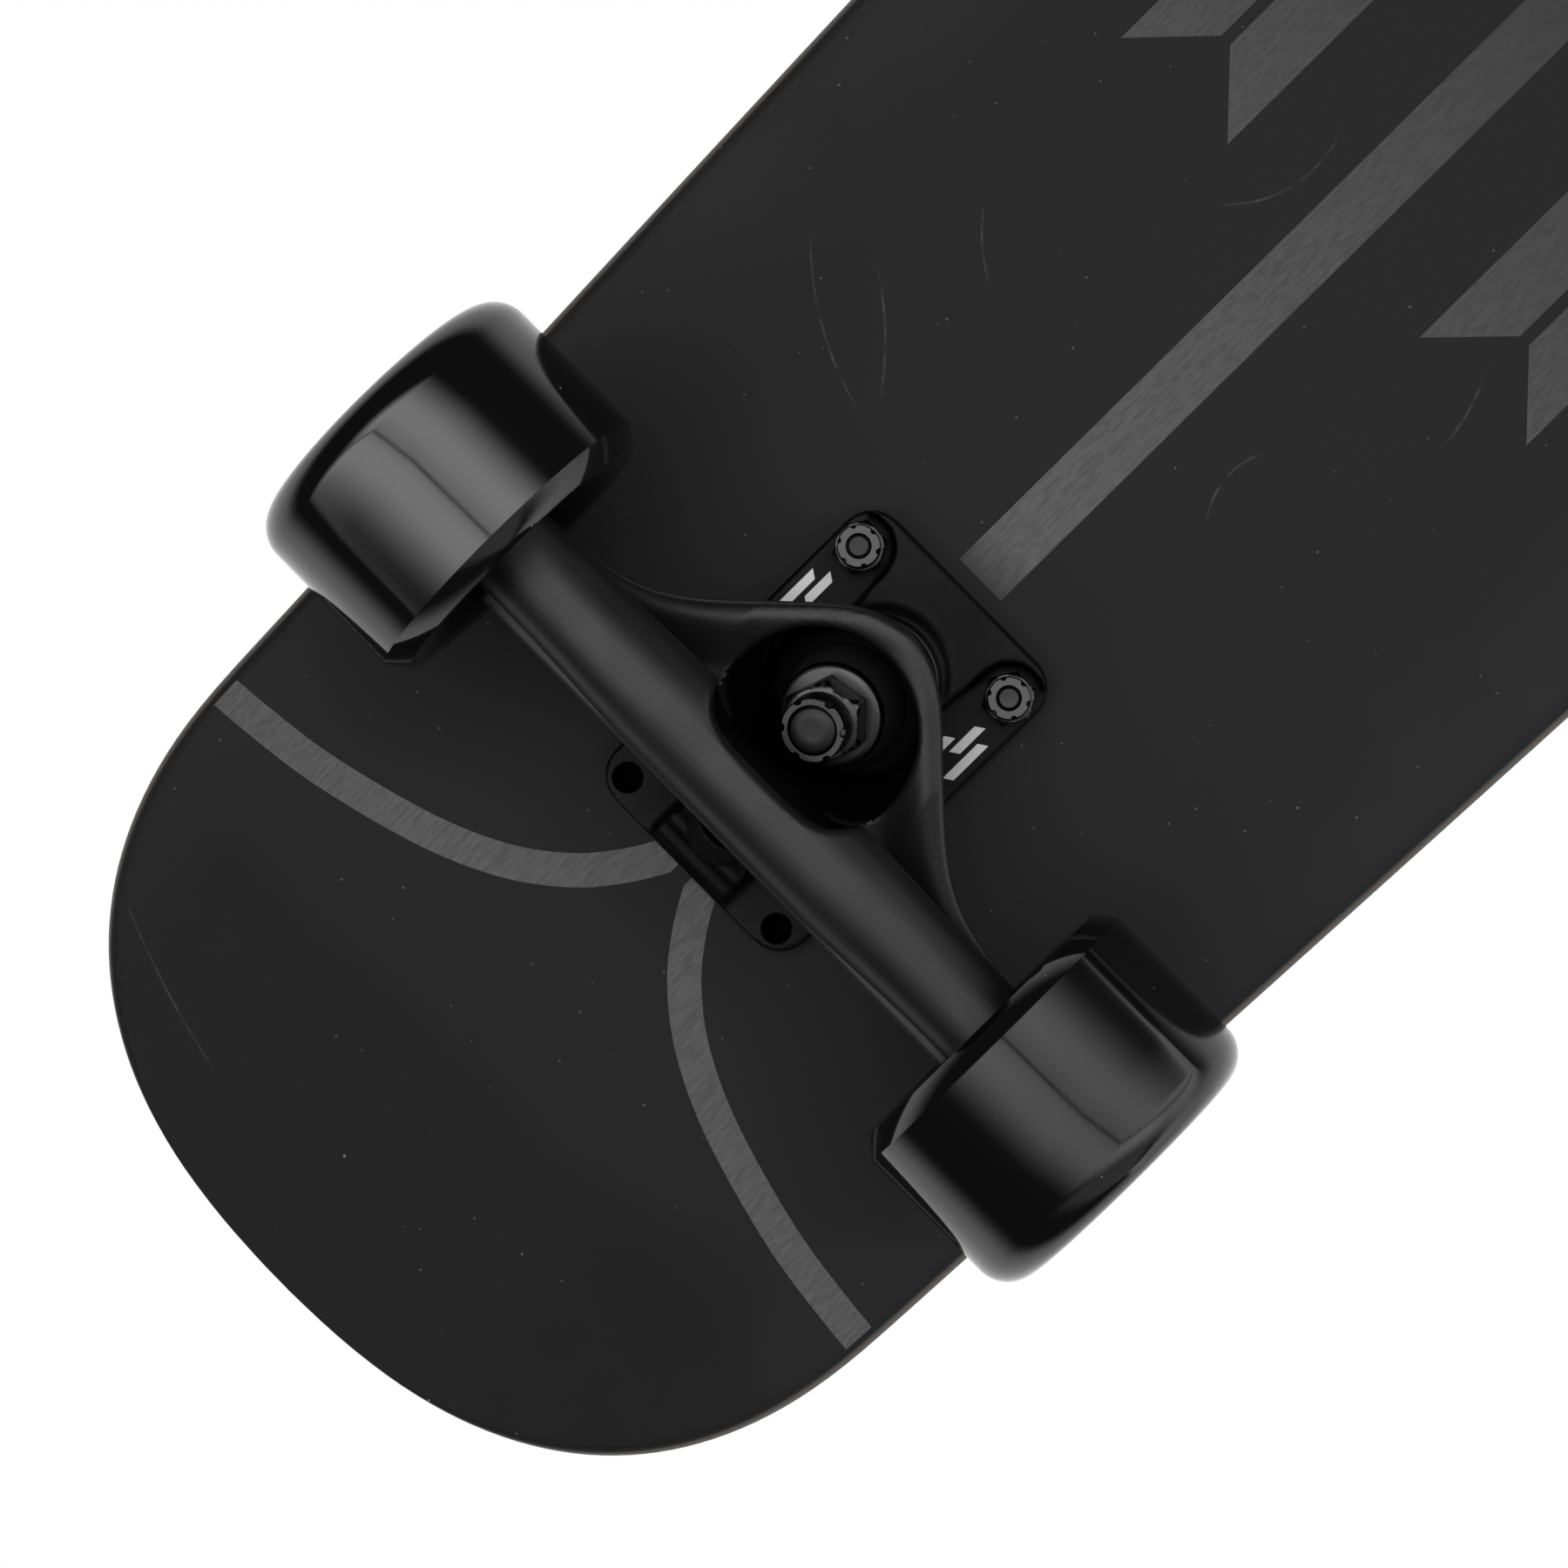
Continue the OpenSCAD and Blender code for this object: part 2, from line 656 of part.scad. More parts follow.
at_truck(rear) bearing_spacers();  // rear_bearing_spacers
at_truck(front) bearing_spacers();  // front_bearing_spacers
at_wheel(rear, left) wheel();  // rear_left_wheel
at_wheel(rear, right) wheel();  // rear_right_wheel
at_wheel(front, left) wheel();  // front_left_wheel
at_wheel(front, right) wheel();  // front_right_wheel
at_wheel(rear, left) outer_races();  // rear_left_outer_races
at_wheel(rear, right) outer_races();  // rear_right_outer_races
at_wheel(front, left) outer_races();  // front_left_outer_races
at_wheel(front, right) outer_races();  // front_right_outer_races
at_wheel(rear, left) shields();  // rear_left_shields
at_wheel(rear, right) shields();  // rear_right_shields
at_wheel(front, left) shields();  // front_left_shields
at_wheel(front, right) shields();  // front_right_shields
at_wheel(rear, left) balls();  // rear_left_balls
at_wheel(rear, right) balls();  // rear_right_balls
at_wheel(front, left) balls();  // front_left_balls
at_wheel(front, right) balls();  // front_right_balls
at_wheel(rear, left) retainers();  // rear_left_retainers
at_wheel(rear, right) retainers();  // rear_right_retainers
at_wheel(front, left) retainers();  // front_left_retainers
at_wheel(front, right) retainers();  // front_right_retainers
at_wheel(rear, left) axle_nut();  // rear_left_axle_nut
at_wheel(rear, right) axle_nut();  // rear_right_axle_nut
at_wheel(front, left) axle_nut();  // front_left_axle_nut
at_wheel(front, right) axle_nut();  // front_right_axle_nut
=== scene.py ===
import math

import bmesh
import bpy
from mathutils import Matrix, Vector


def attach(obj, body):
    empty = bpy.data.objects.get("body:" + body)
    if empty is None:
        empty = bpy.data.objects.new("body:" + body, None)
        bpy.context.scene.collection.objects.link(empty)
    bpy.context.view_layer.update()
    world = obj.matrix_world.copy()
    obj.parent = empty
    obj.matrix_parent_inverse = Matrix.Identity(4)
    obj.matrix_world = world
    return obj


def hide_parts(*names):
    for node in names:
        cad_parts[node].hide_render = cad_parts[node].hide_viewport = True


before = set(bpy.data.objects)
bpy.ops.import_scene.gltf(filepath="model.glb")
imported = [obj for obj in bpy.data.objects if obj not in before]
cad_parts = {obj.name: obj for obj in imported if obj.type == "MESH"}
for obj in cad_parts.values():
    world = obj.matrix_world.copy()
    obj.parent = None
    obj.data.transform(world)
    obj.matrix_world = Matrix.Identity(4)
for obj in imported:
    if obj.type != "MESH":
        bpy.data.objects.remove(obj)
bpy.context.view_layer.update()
print("frame loaded:", len(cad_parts), "nodes")

mm = 0.001
mergeReach = 1e-5
ends = {"rear": -1, "front": 1}
sides = {"left": 1, "right": -1}

# places shared by all the pieces, in millimetres from the ground under the middle of the board
layout = {
    "boltCentre": 205.0, "boltLong": 53.975, "boltWide": 41.275,
    "underside": 85.2, "axleHeight": 32.2, "axleDrop": 53.0, "axleSet": 19.5, "axleDiameter": 7.94,
    "axleLength": 203.0,
    "kingpinX": 11.97, "kingpinZ": 10.0, "kingpinLean": 20.0, "kingpinDiameter": 9.5,
    "pivotX": -29.16, "pivotZ": 14.83, "noseLean": 35.0,
}


def turn(degrees, axis):
    return Matrix.Rotation(math.radians(degrees), 4, axis)


def move(x, y, z):
    return Matrix.Translation((x, y, z))


# the kingpin and the pivot nose in the truck's own place
localPin = move(layout["kingpinX"], 0, layout["kingpinZ"]) @ turn(-layout["kingpinLean"], "Y")
localNose = move(layout["pivotX"], 0, layout["pivotZ"]) @ turn(layout["noseLean"], "Y")


def truckPlace(end):
    # x to the middle of the board, z down from the underside of the deck
    facing = turn(180 if end > 0 else 0, "Z")
    return move(end * layout["boltCentre"], 0, layout["underside"]) @ facing @ turn(180, "X")


def kingpinPlace(end):
    return truckPlace(end) @ localPin


def pivotPlace(end):
    return truckPlace(end) @ localNose


def wheelPlace(end, side):
    x = end * (layout["boltCentre"] + layout["axleSet"])
    return move(x, 0, layout["axleHeight"]) @ turn(-90 * side, "X")


toMetres = Matrix.Scale(mm, 4)
scene = bpy.context.scene


def linkPiece(name, mesh, material=None):
    piece = bpy.data.objects.new(name, mesh)
    scene.collection.objects.link(piece)
    if material is not None:
        mesh.materials.clear()
        mesh.materials.append(material)
    return piece


def softenShading(mesh, angle=35):
    mesh.shade_smooth()
    mesh.set_sharp_from_angle(angle=math.radians(angle))


def meshFrom(name, verts, faces, angle=35):
    mesh = bpy.data.meshes.new(name)
    mesh.from_pydata([tuple(v) for v in verts], [], faces)
    work = bmesh.new()
    work.from_mesh(mesh)
    bmesh.ops.remove_doubles(work, verts=work.verts, dist=mergeReach)
    bmesh.ops.recalc_face_normals(work, faces=work.faces)
    work.to_mesh(mesh)
    work.free()
    softenShading(mesh, angle)
    return mesh


def settle(piece):
    # turns the evaluated result into a plain mesh and drops the modifiers
    bpy.context.view_layer.update()
    graph = bpy.context.evaluated_depsgraph_get()
    mesh = bpy.data.meshes.new_from_object(piece.evaluated_get(graph), depsgraph=graph)
    piece.modifiers.clear()
    piece.data = mesh
    return piece


def finishPiece(piece, place, body, slotName, *nodes):
    piece.data.transform(toMetres @ place)
    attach(piece, body)
    if nodes:
        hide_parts(*nodes)
    return piece


def makePiece(name, shape, look, place, body, slotName, *nodes, angle=35):
    piece = linkPiece(name, meshFrom(name, *shape, angle=angle), look)
    return finishPiece(piece, place, body, slotName, *nodes)


# shapes as lists of points and faces


def circleRow(radius, z, steps):
    # one row of points round z; the radius is a number or a function of the angle
    row = []
    for j in range(steps):
        a = 2 * math.pi * j / steps
        r = radius(a) if callable(radius) else radius
        row.append((r * math.cos(a), r * math.sin(a), z))
    return row


def ringSkin(rings, loop=False, poles=None):
    # joins rings of equal length; poles are the two middle points that close the ends
    verts = [p for ring in rings for p in ring]
    around = len(rings[0])
    faces = []
    spans = len(rings) if loop else len(rings) - 1
    for i in range(spans):
        a, b = i * around, (i + 1) % len(rings) * around
        for j in range(around):
            k = (j + 1) % around
            faces.append((a + j, a + k, b + k, b + j))
    if poles:
        first, last = len(verts), len(verts) + 1
        verts += list(poles)
        top = (len(rings) - 1) * around
        for j in range(around):
            k = (j + 1) % around
            faces.append((first, k, j))
            faces.append((last, top + j, top + k))
    return verts, faces


def lathe(profile, steps=96):
    # profile is a closed loop of (radius, height)
    return ringSkin([circleRow(max(r, 0), z, steps) for r, z in profile], loop=True)


def spindle(profile, steps=64):
    # a closed turned shape about z from (radius, z) rows, capped at both ends
    return ringSkin([circleRow(r, z, steps) for r, z in profile],
                    poles=[(0, 0, profile[0][1]), (0, 0, profile[-1][1])])


def roundedLoop(points, radius, steps):
    # rounds each corner of a closed loop of points
    out = []
    for i, p in enumerate(points):
        here = Vector(p)
        a, b = Vector(points[i - 1]) - here, Vector(points[(i + 1) % len(points)]) - here
        reach = min(radius, a.length * 0.45, b.length * 0.45)
        start, stop = here + a.normalized() * reach, here + b.normalized() * reach
        for s in range(steps + 1):
            t = s / steps
            out.append(tuple(start * (1 - t) ** 2 + here * 2 * t * (1 - t) + stop * t ** 2))
    return out


def prism(outline, low, high):
    # a flat outline in (x, y) between two heights
    count = len(outline)
    verts = [(x, y, low) for x, y in outline] + [(x, y, high) for x, y in outline]
    faces = [tuple(reversed(range(count))), tuple(range(count, 2 * count))]
    for j in range(count):
        k = (j + 1) % count
        faces.append((j, k, count + k, count + j))
    return verts, faces


def sideways(outline, half):
    # a prism whose outline is in (x, z), from -half to half across
    verts, faces = prism(outline, -half, half)
    return [(x, y, z) for x, z, y in verts], faces


def placed(shape, place):
    return [tuple(place @ Vector(v)) for v in shape[0]], shape[1]


def joinShapes(shapes):
    verts, faces = [], []
    for part in shapes:
        first = len(verts)
        verts += list(part[0])
        faces += [tuple(first + i for i in face) for face in part[1]]
    return verts, faces


def cleaned(shape):
    work = bmesh.new()
    points = [work.verts.new(v) for v in shape[0]]
    for face in shape[1]:
        work.faces.new([points[i] for i in face])
    bmesh.ops.remove_doubles(work, verts=work.verts, dist=mergeReach)
    bmesh.ops.recalc_face_normals(work, faces=work.faces)
    bmesh.ops.triangulate(work, faces=[f for f in work.faces if len(f.verts) > 4])
    mesh = bpy.data.meshes.new("shape")
    work.to_mesh(mesh)
    work.free()
    return mesh


def cutAway(piece, shapes):
    for shape in shapes:
        cutter = linkPiece("cutter", cleaned(shape))
        change = piece.modifiers.new("cut", "BOOLEAN")
        change.operation = "DIFFERENCE"
        change.solver = "EXACT"
        change.object = cutter
        settle(piece)
        bpy.data.objects.remove(cutter)
    return piece


# nodes


def put(tree, kind, settings=None, **values):
    node = tree.nodes.new(kind)
    for key, value in (settings or {}).items():
        setattr(node, key, value)
    for key, value in values.items():
        socket = node.inputs[int(key[1:])] if key[0] == "i" and key[1:].isdigit() else node.inputs[key]
        if isinstance(value, bpy.types.NodeSocket):
            tree.links.new(value, socket)
        else:
            socket.default_value = value
    return node


def calc(tree, operation, a, b=0.0, clamp=False):
    return put(tree, "ShaderNodeMath", {"operation": operation, "use_clamp": clamp}, i0=a, i1=b).outputs[0]


def chain(tree, operation, terms):
    value = terms[0]
    for term in terms[1:]:
        value = calc(tree, operation, value, term)
    return value


def total(tree, *terms):
    return chain(tree, "ADD", terms)


def times(tree, *factors):
    return chain(tree, "MULTIPLY", factors)


def minus(tree, *terms):
    return chain(tree, "SUBTRACT", terms)


def sizeOf(tree, value):
    return calc(tree, "ABSOLUTE", value)


def stretched(tree, value, start, gain):
    # what lies above the start, made steeper and kept within 0 and 1
    return calc(tree, "MULTIPLY", minus(tree, value, start), gain, clamp=True)


def ramp(tree, value, a, b, low, high, kind="SMOOTHSTEP"):
    return put(tree, "ShaderNodeMapRange", {"interpolation_type": kind}, i0=value, i1=a, i2=b, i3=low,
               i4=high).outputs[0]


def noise(tree, place, scale, detail, roughness=0.5):
    return put(tree, "ShaderNodeTexNoise", None, Vector=place, Scale=scale, Detail=detail,
               Roughness=roughness).outputs["Fac"]


def vectorCalc(tree, operation, a, b, result="Vector"):
    return put(tree, "ShaderNodeVectorMath", {"operation": operation}, i0=a, i1=b).outputs[result]


def axisOf(tree, place, axis):
    return put(tree, "ShaderNodeSeparateXYZ", None, Vector=place).outputs[axis]


def blendValue(tree, a, b, mask):
    return put(tree, "ShaderNodeMix", {"data_type": "FLOAT"}, i0=mask, i2=a, i3=b).outputs[0]


def blendColour(tree, a, b, mask):
    return put(tree, "ShaderNodeMix", {"data_type": "RGBA"}, i0=mask, i6=a, i7=b).outputs[2]


# scratches on the underside: start, end and bow, in truck millimetres (towards the middle, across)
wear = {
    "scratches": [
        (63.0, -71.3, 45.7, -40.4, 2.5), (68.4, -58.6, 49.9, -38.7, -1.5), (91.2, -51.5, 80.8, -39.2, 1.0),
        (123.1, -19.8, 150.6, -12.8, 4.5), (78.4, 23.0, 95.7, 21.1, -2.5),
        (-126.0, -74.0, -137.0, -38.0, 1.0), (120.0, 45.0, 138.0, 40.0, 1.0)],
    "scratchWidth": 0.34, "fade": 0.6, "breaks": 300.0,
    "dustShare": 0.14,
}


def shaderGroup(name, outputs, **inputs):
    # every group takes coordinates first and then its own sizes
    tree = bpy.data.node_groups.new(name, "ShaderNodeTree")
    tree.interface.new_socket("Coordinates", in_out="INPUT", socket_type="NodeSocketVector")
    for label, value in inputs.items():
        kind = "NodeSocketVector" if isinstance(value, tuple) else "NodeSocketFloat"
        tree.interface.new_socket(label, in_out="INPUT", socket_type=kind).default_value = value
    for label in outputs:
        tree.interface.new_socket(label, in_out="OUTPUT", socket_type="NodeSocketFloat")
    return tree, tree.nodes.new("NodeGroupInput").outputs, tree.nodes.new("NodeGroupOutput").inputs


def makeBrightSpecks():
    # small bright specks scattered at random, with most cells left empty
    tree, given, result = shaderGroup("brightSpecks", ["Mask"], Spacing=250.0, Size=0.06, Share=0.1)
    cells = put(tree, "ShaderNodeTexVoronoi", None, Vector=given["Coordinates"],
                Scale=given["Spacing"]).outputs
    chosen = put(tree, "ShaderNodeSeparateColor", None, Color=cells["Color"]).outputs
    reach = times(tree, given["Size"], total(tree, chosen[1], 0.3))
    near = calc(tree, "LESS_THAN", cells["Distance"], reach)
    kept = calc(tree, "LESS_THAN", chosen[0], given["Share"])
    tree.links.new(times(tree, near, kept), result["Mask"])
    return tree


def makeScratchLine():
    # a thin bowed scratch between two points on the board, broken up along its length
    tree, given, result = shaderGroup("scratchLine", ["Mask"], Start=(0, 0, 0), Along=(0.1, 0, 0), Length=0.1,
                                      Bow=0.0, Width=0.0002)
    offset = vectorCalc(tree, "SUBTRACT", given["Coordinates"], given["Start"])
    forward = vectorCalc(tree, "DOT_PRODUCT", offset, given["Along"], "Value")
    share = calc(tree, "DIVIDE", forward, given["Length"])
    off = axisOf(tree, vectorCalc(tree, "CROSS_PRODUCT", given["Along"], offset), "Z")
    # nothing at both ends and one in the middle
    hump = times(tree, share, minus(tree, 1.0, share), 4.0)
    gap = sizeOf(tree, minus(tree, off, times(tree, hump, given["Bow"])))
    line = calc(tree, "SUBTRACT", 1.0, calc(tree, "DIVIDE", gap, given["Width"]), clamp=True)
    inside = times(tree, calc(tree, "GREATER_THAN", share, 0.0), calc(tree, "LESS_THAN", share, 1.0))
    fade = calc(tree, "POWER", calc(tree, "MAXIMUM", hump, 0.0), wear["fade"])
    worn = stretched(tree, noise(tree, given["Coordinates"], wear["breaks"], 2.0), 0.32, 2.2)
    tree.links.new(times(tree, line, inside, fade, worn), result["Mask"])
    return tree


def makeGrain():
    # long fine wood grain along X as a height, and broad mottling
    tree, given, result = shaderGroup("woodGrain", ["Height", "Mottle"], Fineness=900.0)
    fibres = vectorCalc(tree, "MULTIPLY", given["Coordinates"], (0.22, 1.0, 1.0))
    tree.links.new(noise(tree, fibres, given["Fineness"], 3.0, 0.6), result["Height"])
    tree.links.new(noise(tree, given["Coordinates"], 22.0, 5.0, 0.62), result["Mottle"])
    return tree


def makeCastSkin():
    # the fine orange peel of paint on a casting, and slow changes of gloss
    tree, given, result = shaderGroup("castSkin", ["Height", "Roughness"], Fineness=1800.0, Low=0.3, High=0.5)
    tree.links.new(noise(tree, given["Coordinates"], given["Fineness"], 3.0), result["Height"])
    slow = noise(tree, given["Coordinates"], 90.0, 4.0)
    tree.links.new(ramp(tree, slow, 0.3, 0.7, given["Low"], given["High"], "LINEAR"), result["Roughness"])
    return tree


groups = {"dust": makeBrightSpecks(), "scratch": makeScratchLine(), "grain": makeGrain(),
          "cast": makeCastSkin()}


def useGroup(tree, which, **values):
    return put(tree, "ShaderNodeGroup", {"node_tree": groups[which]}, **values).outputs


def newMaterial(name, **values):
    material = bpy.data.materials.new(name)
    material.use_nodes = True
    tree = material.node_tree
    shader = tree.nodes["Principled BSDF"]
    for key, value in values.items():
        shader.inputs[key.replace("_", " ")].default_value = value
    place = tree.nodes.new("ShaderNodeTexCoord").outputs["Object"]
    return material, tree, shader, place


def bumpInto(tree, shader, height, strength, distance):
    bump = put(tree, "ShaderNodeBump", None, Strength=strength, Distance=distance, Height=height)
    tree.links.new(bump.outputs["Normal"], shader.inputs["Normal"])


def grey(v):
    return (v, v, v, 1.0)


def wearMask(tree, place):
    mask = None
    for x0, y0, x1, y1, bow in wear["scratches"]:
        for end in (-1, 1):
            start = Vector((end * (layout["boltCentre"] - x0), -end * y0, 0)) * mm
            stop = Vector((end * (layout["boltCentre"] - x1), -end * y1, 0)) * mm
            span, width = stop - start, wear["scratchWidth"] * mm
            line = useGroup(tree, "scratch", Coordinates=place, Start=start, Along=span.normalized(),
                            Length=span.length, Bow=bow * mm, Width=width)["Mask"]
            mask = line if mask is None else calc(tree, "MAXIMUM", mask, line)
    return mask


def flatPlace(tree, place):
    return vectorCalc(tree, "MULTIPLY", place, (1, 1, 0))


# tones of the deck, and in metres where the rails pale and where painted reflection and painted shade darken
# the print
deckLook = {
    "stain": 0.0050, "stainWorn": 0.0088, "edge": 0.0145, "scratch": 0.085, "dust": 0.26,
    "stainRough": (0.58, 0.66), "railSpan": (0.060, 0.095),
    "print": 0.090, "printDarkAndShade": 0.012, "printScratch": 0.15, "printSheenSpan": 0.15, "printShadeAt": 0.166,
    "plies": 6.999, "plyDark": (0.034, 0.028, 0.023, 1), "plyPale": (0.075, 0.055, 0.040, 1),
    "plyGrain": (0.020, 0.017, 0.014, 1), "plyGlue": 0.012,
}
wheelLook = {"tone": 0.0030, "dust": 0.16, "rough": (0.06, 0.10)}


def makeDeckStain():
    material, tree, shader, place = newMaterial("deckStain", Roughness=0.62, Specular_IOR_Level=0.18)
    flat = flatPlace(tree, place)
    grain = useGroup(tree, "grain", Coordinates=place, Fineness=1500.0)
    dust = useGroup(tree, "dust", Coordinates=flat, Spacing=170.0, Size=0.06, Share=wear["dustShare"])["Mask"]
    motes = useGroup(tree, "dust", Coordinates=flat, Spacing=520.0, Size=0.12, Share=0.07)["Mask"]
    lines = wearMask(tree, flat)
    spread = stretched(tree, grain["Mottle"], 0.40, 3.2)
    tone = blendColour(tree, grey(deckLook["stain"]), grey(deckLook["stainWorn"]), spread)
    # the rails are paler than the middle, in patches that follow the mottle
    rail = ramp(tree, sizeOf(tree, axisOf(tree, place, "Y")), *deckLook["railSpan"], 0.0, 1.0)
    tone = blendColour(tree, tone, grey(deckLook["edge"]), times(tree, rail, grain["Mottle"]))
    tone = blendColour(tree, tone, grey(deckLook["scratch"]), times(tree, lines, 0.8))
    specks = calc(tree, "MAXIMUM", dust, times(tree, motes, 0.35))
    tone = blendColour(tree, tone, grey(deckLook["dust"]), times(tree, specks, 0.6))
    tree.links.new(tone, shader.inputs["Base Color"])
    tree.links.new(blendValue(tree, *deckLook["stainRough"], spread), shader.inputs["Roughness"])
    bumpInto(tree, shader, grain["Height"], 0.10, 0.00003)
    return material


def makeDeckPrint():
    material, tree, shader, place = newMaterial("deckPrint", Roughness=0.45, Specular_IOR_Level=0.15)
    grain = useGroup(tree, "grain", Coordinates=place, Fineness=1300.0)
    lines = wearMask(tree, flatPlace(tree, place))
    # painted light: the print darkens towards the middle of the board as its painted reflection falls off, and
    # painted shade darkens it beside the baseplates; the grain speckles it too
    reach = sizeOf(tree, axisOf(tree, place, "X"))
    middle = ramp(tree, reach, 0.0, deckLook["printSheenSpan"], 0.22, 1.0, "LINEAR")
    nearPlate = sizeOf(tree, minus(tree, reach, deckLook["printShadeAt"]))
    plateShade = ramp(tree, nearPlate, 0.0, 0.009, 0.25, 1.0, "LINEAR")
    speck = stretched(tree, grain["Height"], 0.36, 4.0)
    paintedLight = calc(tree, "MINIMUM", middle, plateShade)
    inkAndLight = calc(tree, "MULTIPLY", paintedLight, total(tree, times(tree, speck, 0.35), 0.65), clamp=True)
    ink = blendColour(tree, grey(deckLook["printDarkAndShade"]), grey(deckLook["print"]), inkAndLight)
    ink = blendColour(tree, ink, grey(deckLook["printScratch"]), times(tree, lines, 0.3))
    tree.links.new(ink, shader.inputs["Base Color"])
    bumpInto(tree, shader, grain["Height"], 0.35, 0.00006)
    return material


def makePlyEdge():
    # seven dyed plies, read from the height stored on the edge
    material, tree, shader, place = newMaterial("plyEdge", Roughness=0.6)
    level = put(tree, "ShaderNodeAttribute", {"attribute_name": "plyHeight"}).outputs["Fac"]
    layer = times(tree, level, deckLook["plies"])
    odd = calc(tree, "MODULO", calc(tree, "FLOOR", layer), 2.0)
    grain = useGroup(tree, "grain", Coordinates=place, Fineness=1600.0)["Height"]
    joint = calc(tree, "GREATER_THAN", sizeOf(tree, minus(tree, calc(tree, "FRACT", layer), 0.5)), 0.44)
    tone = blendColour(tree, deckLook["plyDark"], deckLook["plyPale"], odd)
    tone = blendColour(tree, tone, deckLook["plyGrain"], times(tree, grain, 0.6))
    tone = blendColour(tree, tone, grey(deckLook["plyGlue"]), times(tree, joint, 0.7))
    tree.links.new(tone, shader.inputs["Base Color"])
    bumpInto(tree, shader, grain, 0.3, 0.00008)
    return material


def makeGrip():
    material, tree, shader, place = newMaterial("gripGrit", Base_Color=grey(0.012), Roughness=0.9)
    grit = put(tree, "ShaderNodeTexVoronoi", None, Vector=place, Scale=1700.0).outputs["Distance"]
    clump = noise(tree, place, 700.0, 3.0)
    # painted highlight: pale glints on the grit, painted into the colour
    glint = useGroup(tree, "dust", Coordinates=place, Spacing=1500.0, Size=0.28, Share=0.12)["Mask"]
    tone = blendColour(tree, grey(0.008), grey(0.024), clump)
    tree.links.new(blendColour(tree, tone, grey(0.12), times(tree, glint, 0.6)), shader.inputs["Base Color"])
    bumpInto(tree, shader, total(tree, grit, clump), 0.9, 0.0004)
    return material


def makeCoated(name, tone, low, high, fineness, strength, metallic=0.0, worn=None, specular=0.5):
    # paint or plating over metal, rubber or plastic: the cast skin group with its own values
    material, tree, shader, place = newMaterial(name, Base_Color=tone, Metallic=metallic,
                                                Specular_IOR_Level=specular)
    skin = useGroup(tree, "cast", Coordinates=place, Fineness=fineness, Low=low, High=high)
    tree.links.new(skin["Roughness"], shader.inputs["Roughness"])
    if worn is not None:
        dust = useGroup(tree, "dust", Coordinates=place, Spacing=420.0, Size=0.10, Share=0.045)["Mask"]
        tree.links.new(blendColour(tree, tone, worn, times(tree, dust, 0.7)), shader.inputs["Base Color"])
    bumpInto(tree, shader, skin["Height"], strength, 0.00005)
    return material


def makeWheelSkin():
    tone = grey(wheelLook["tone"])
    material, tree, shader, place = newMaterial("wheelUrethane", Base_Color=tone, IOR=1.49)
    dust = useGroup(tree, "dust", Coordinates=place, Spacing=330.0, Size=0.085, Share=0.07)["Mask"]
    tree.links.new(blendColour(tree, tone, grey(wheelLook["dust"]), times(tree, dust, 0.6)),
                   shader.inputs["Base Color"])
    rough = ramp(tree, noise(tree, place, 60.0, 4.0), 0.3, 0.7, *wheelLook["rough"], "LINEAR")
    tree.links.new(blendValue(tree, rough, 0.5, dust), shader.inputs["Roughness"])
    bumpInto(tree, shader, noise(tree, place, 45.0, 1.0), 0.06, 0.0002)
    return material


looks = {
    "deckStain": makeDeckStain(),
    "deckPrint": makeDeckPrint(),
    "plyEdge": makePlyEdge(),
    "grip": makeGrip(),
    "paint": makeCoated("truckPaint", grey(0.0045), 0.36, 0.44, 2600.0, 0.10, worn=grey(0.05), specular=0.36),
    # painted shade: near-black and dull, for the deep inside of the hanger's bowl
    "bowl": makeCoated("bowlPaintedShade", grey(0.0010), 0.5, 0.6, 2600.0, 0.10, specular=0.045),
    # painted shade: a darker, duller copy of the truck paint for the baseplates
    "plate": makeCoated("platePaintShaded", grey(0.0020), 0.42, 0.52, 2600.0, 0.12, worn=grey(0.02), specular=0.10),
    "nut": makeCoated("nutPlating", grey(0.052), 0.24, 0.36, 2200.0, 0.12, metallic=1.0, worn=grey(0.2)),
    "pin": makeCoated("pinSteel", grey(0.032), 0.34, 0.5, 1500.0, 0.2, metallic=1.0),
    "steel": makeCoated("bearingSteel", grey(0.55), 0.16, 0.26, 1500.0, 0.05, metallic=1.0),
    # painted shade: near-black for the walls and floors of the spare bolt holes
    "pit": makeCoated("holePaintedShade", grey(0.0006), 0.8, 0.9, 1500.0, 0.05, specular=0.02),
    "rubber": makeCoated("bushingRubber", grey(0.007), 0.5, 0.62, 1500.0, 0.12),
    "cup": makeCoated("cupPlastic", grey(0.003), 0.55, 0.65, 1500.0, 0.1, specular=0.12),
    "wheel": makeWheelSkin(),
    "shield": makeCoated("shieldBlack", grey(0.010), 0.32, 0.42, 1500.0, 0.05),
    "cage": makeCoated("cageNylon", (0.55, 0.47, 0.28, 1), 0.42, 0.52, 1500.0, 0.05),
    "marks": makeCoated("lightMarks", grey(0.36), 0.34, 0.5, 1500.0, 0.15, metallic=0.5, worn=grey(0.1)),
}
print("materials made:", len(looks))

# the deck

deck = {
    "length": 726.0, "width": 205.0, "thickness": 10.5, "grip": 0.8, "gripInset": 0.8, "gripHole": 4.95,
    "concave": 7.0, "flatHalf": 26.0, "endRound": 81.0, "endPower": 2.55, "endSweep": 88.4,
    "taper": 0.047, "taperFrom": 60.0, "kickStart": 277.0, "kickAngle": 17.0, "kickRadius": 110.0,
    "edgeRound": 3.4, "plyReach": 1.03, "stainEnd": 0.06,
    "stations": 250, "across": 64, "edgeSteps": 10, "tipSteps": 40,
}


def halfTaper(s):
    return deck["width"] / 2 - deck["taper"] * (math.sqrt(s * s + deck["taperFrom"] ** 2) - deck["taperFrom"])


def kickAt(s):
    # how steep the underside is at a distance from the middle
    bend = min(1.0, max(0.0, s - deck["kickStart"]) / deck["kickRadius"])
    return min(math.radians(deck["kickAngle"]), math.asin(bend))


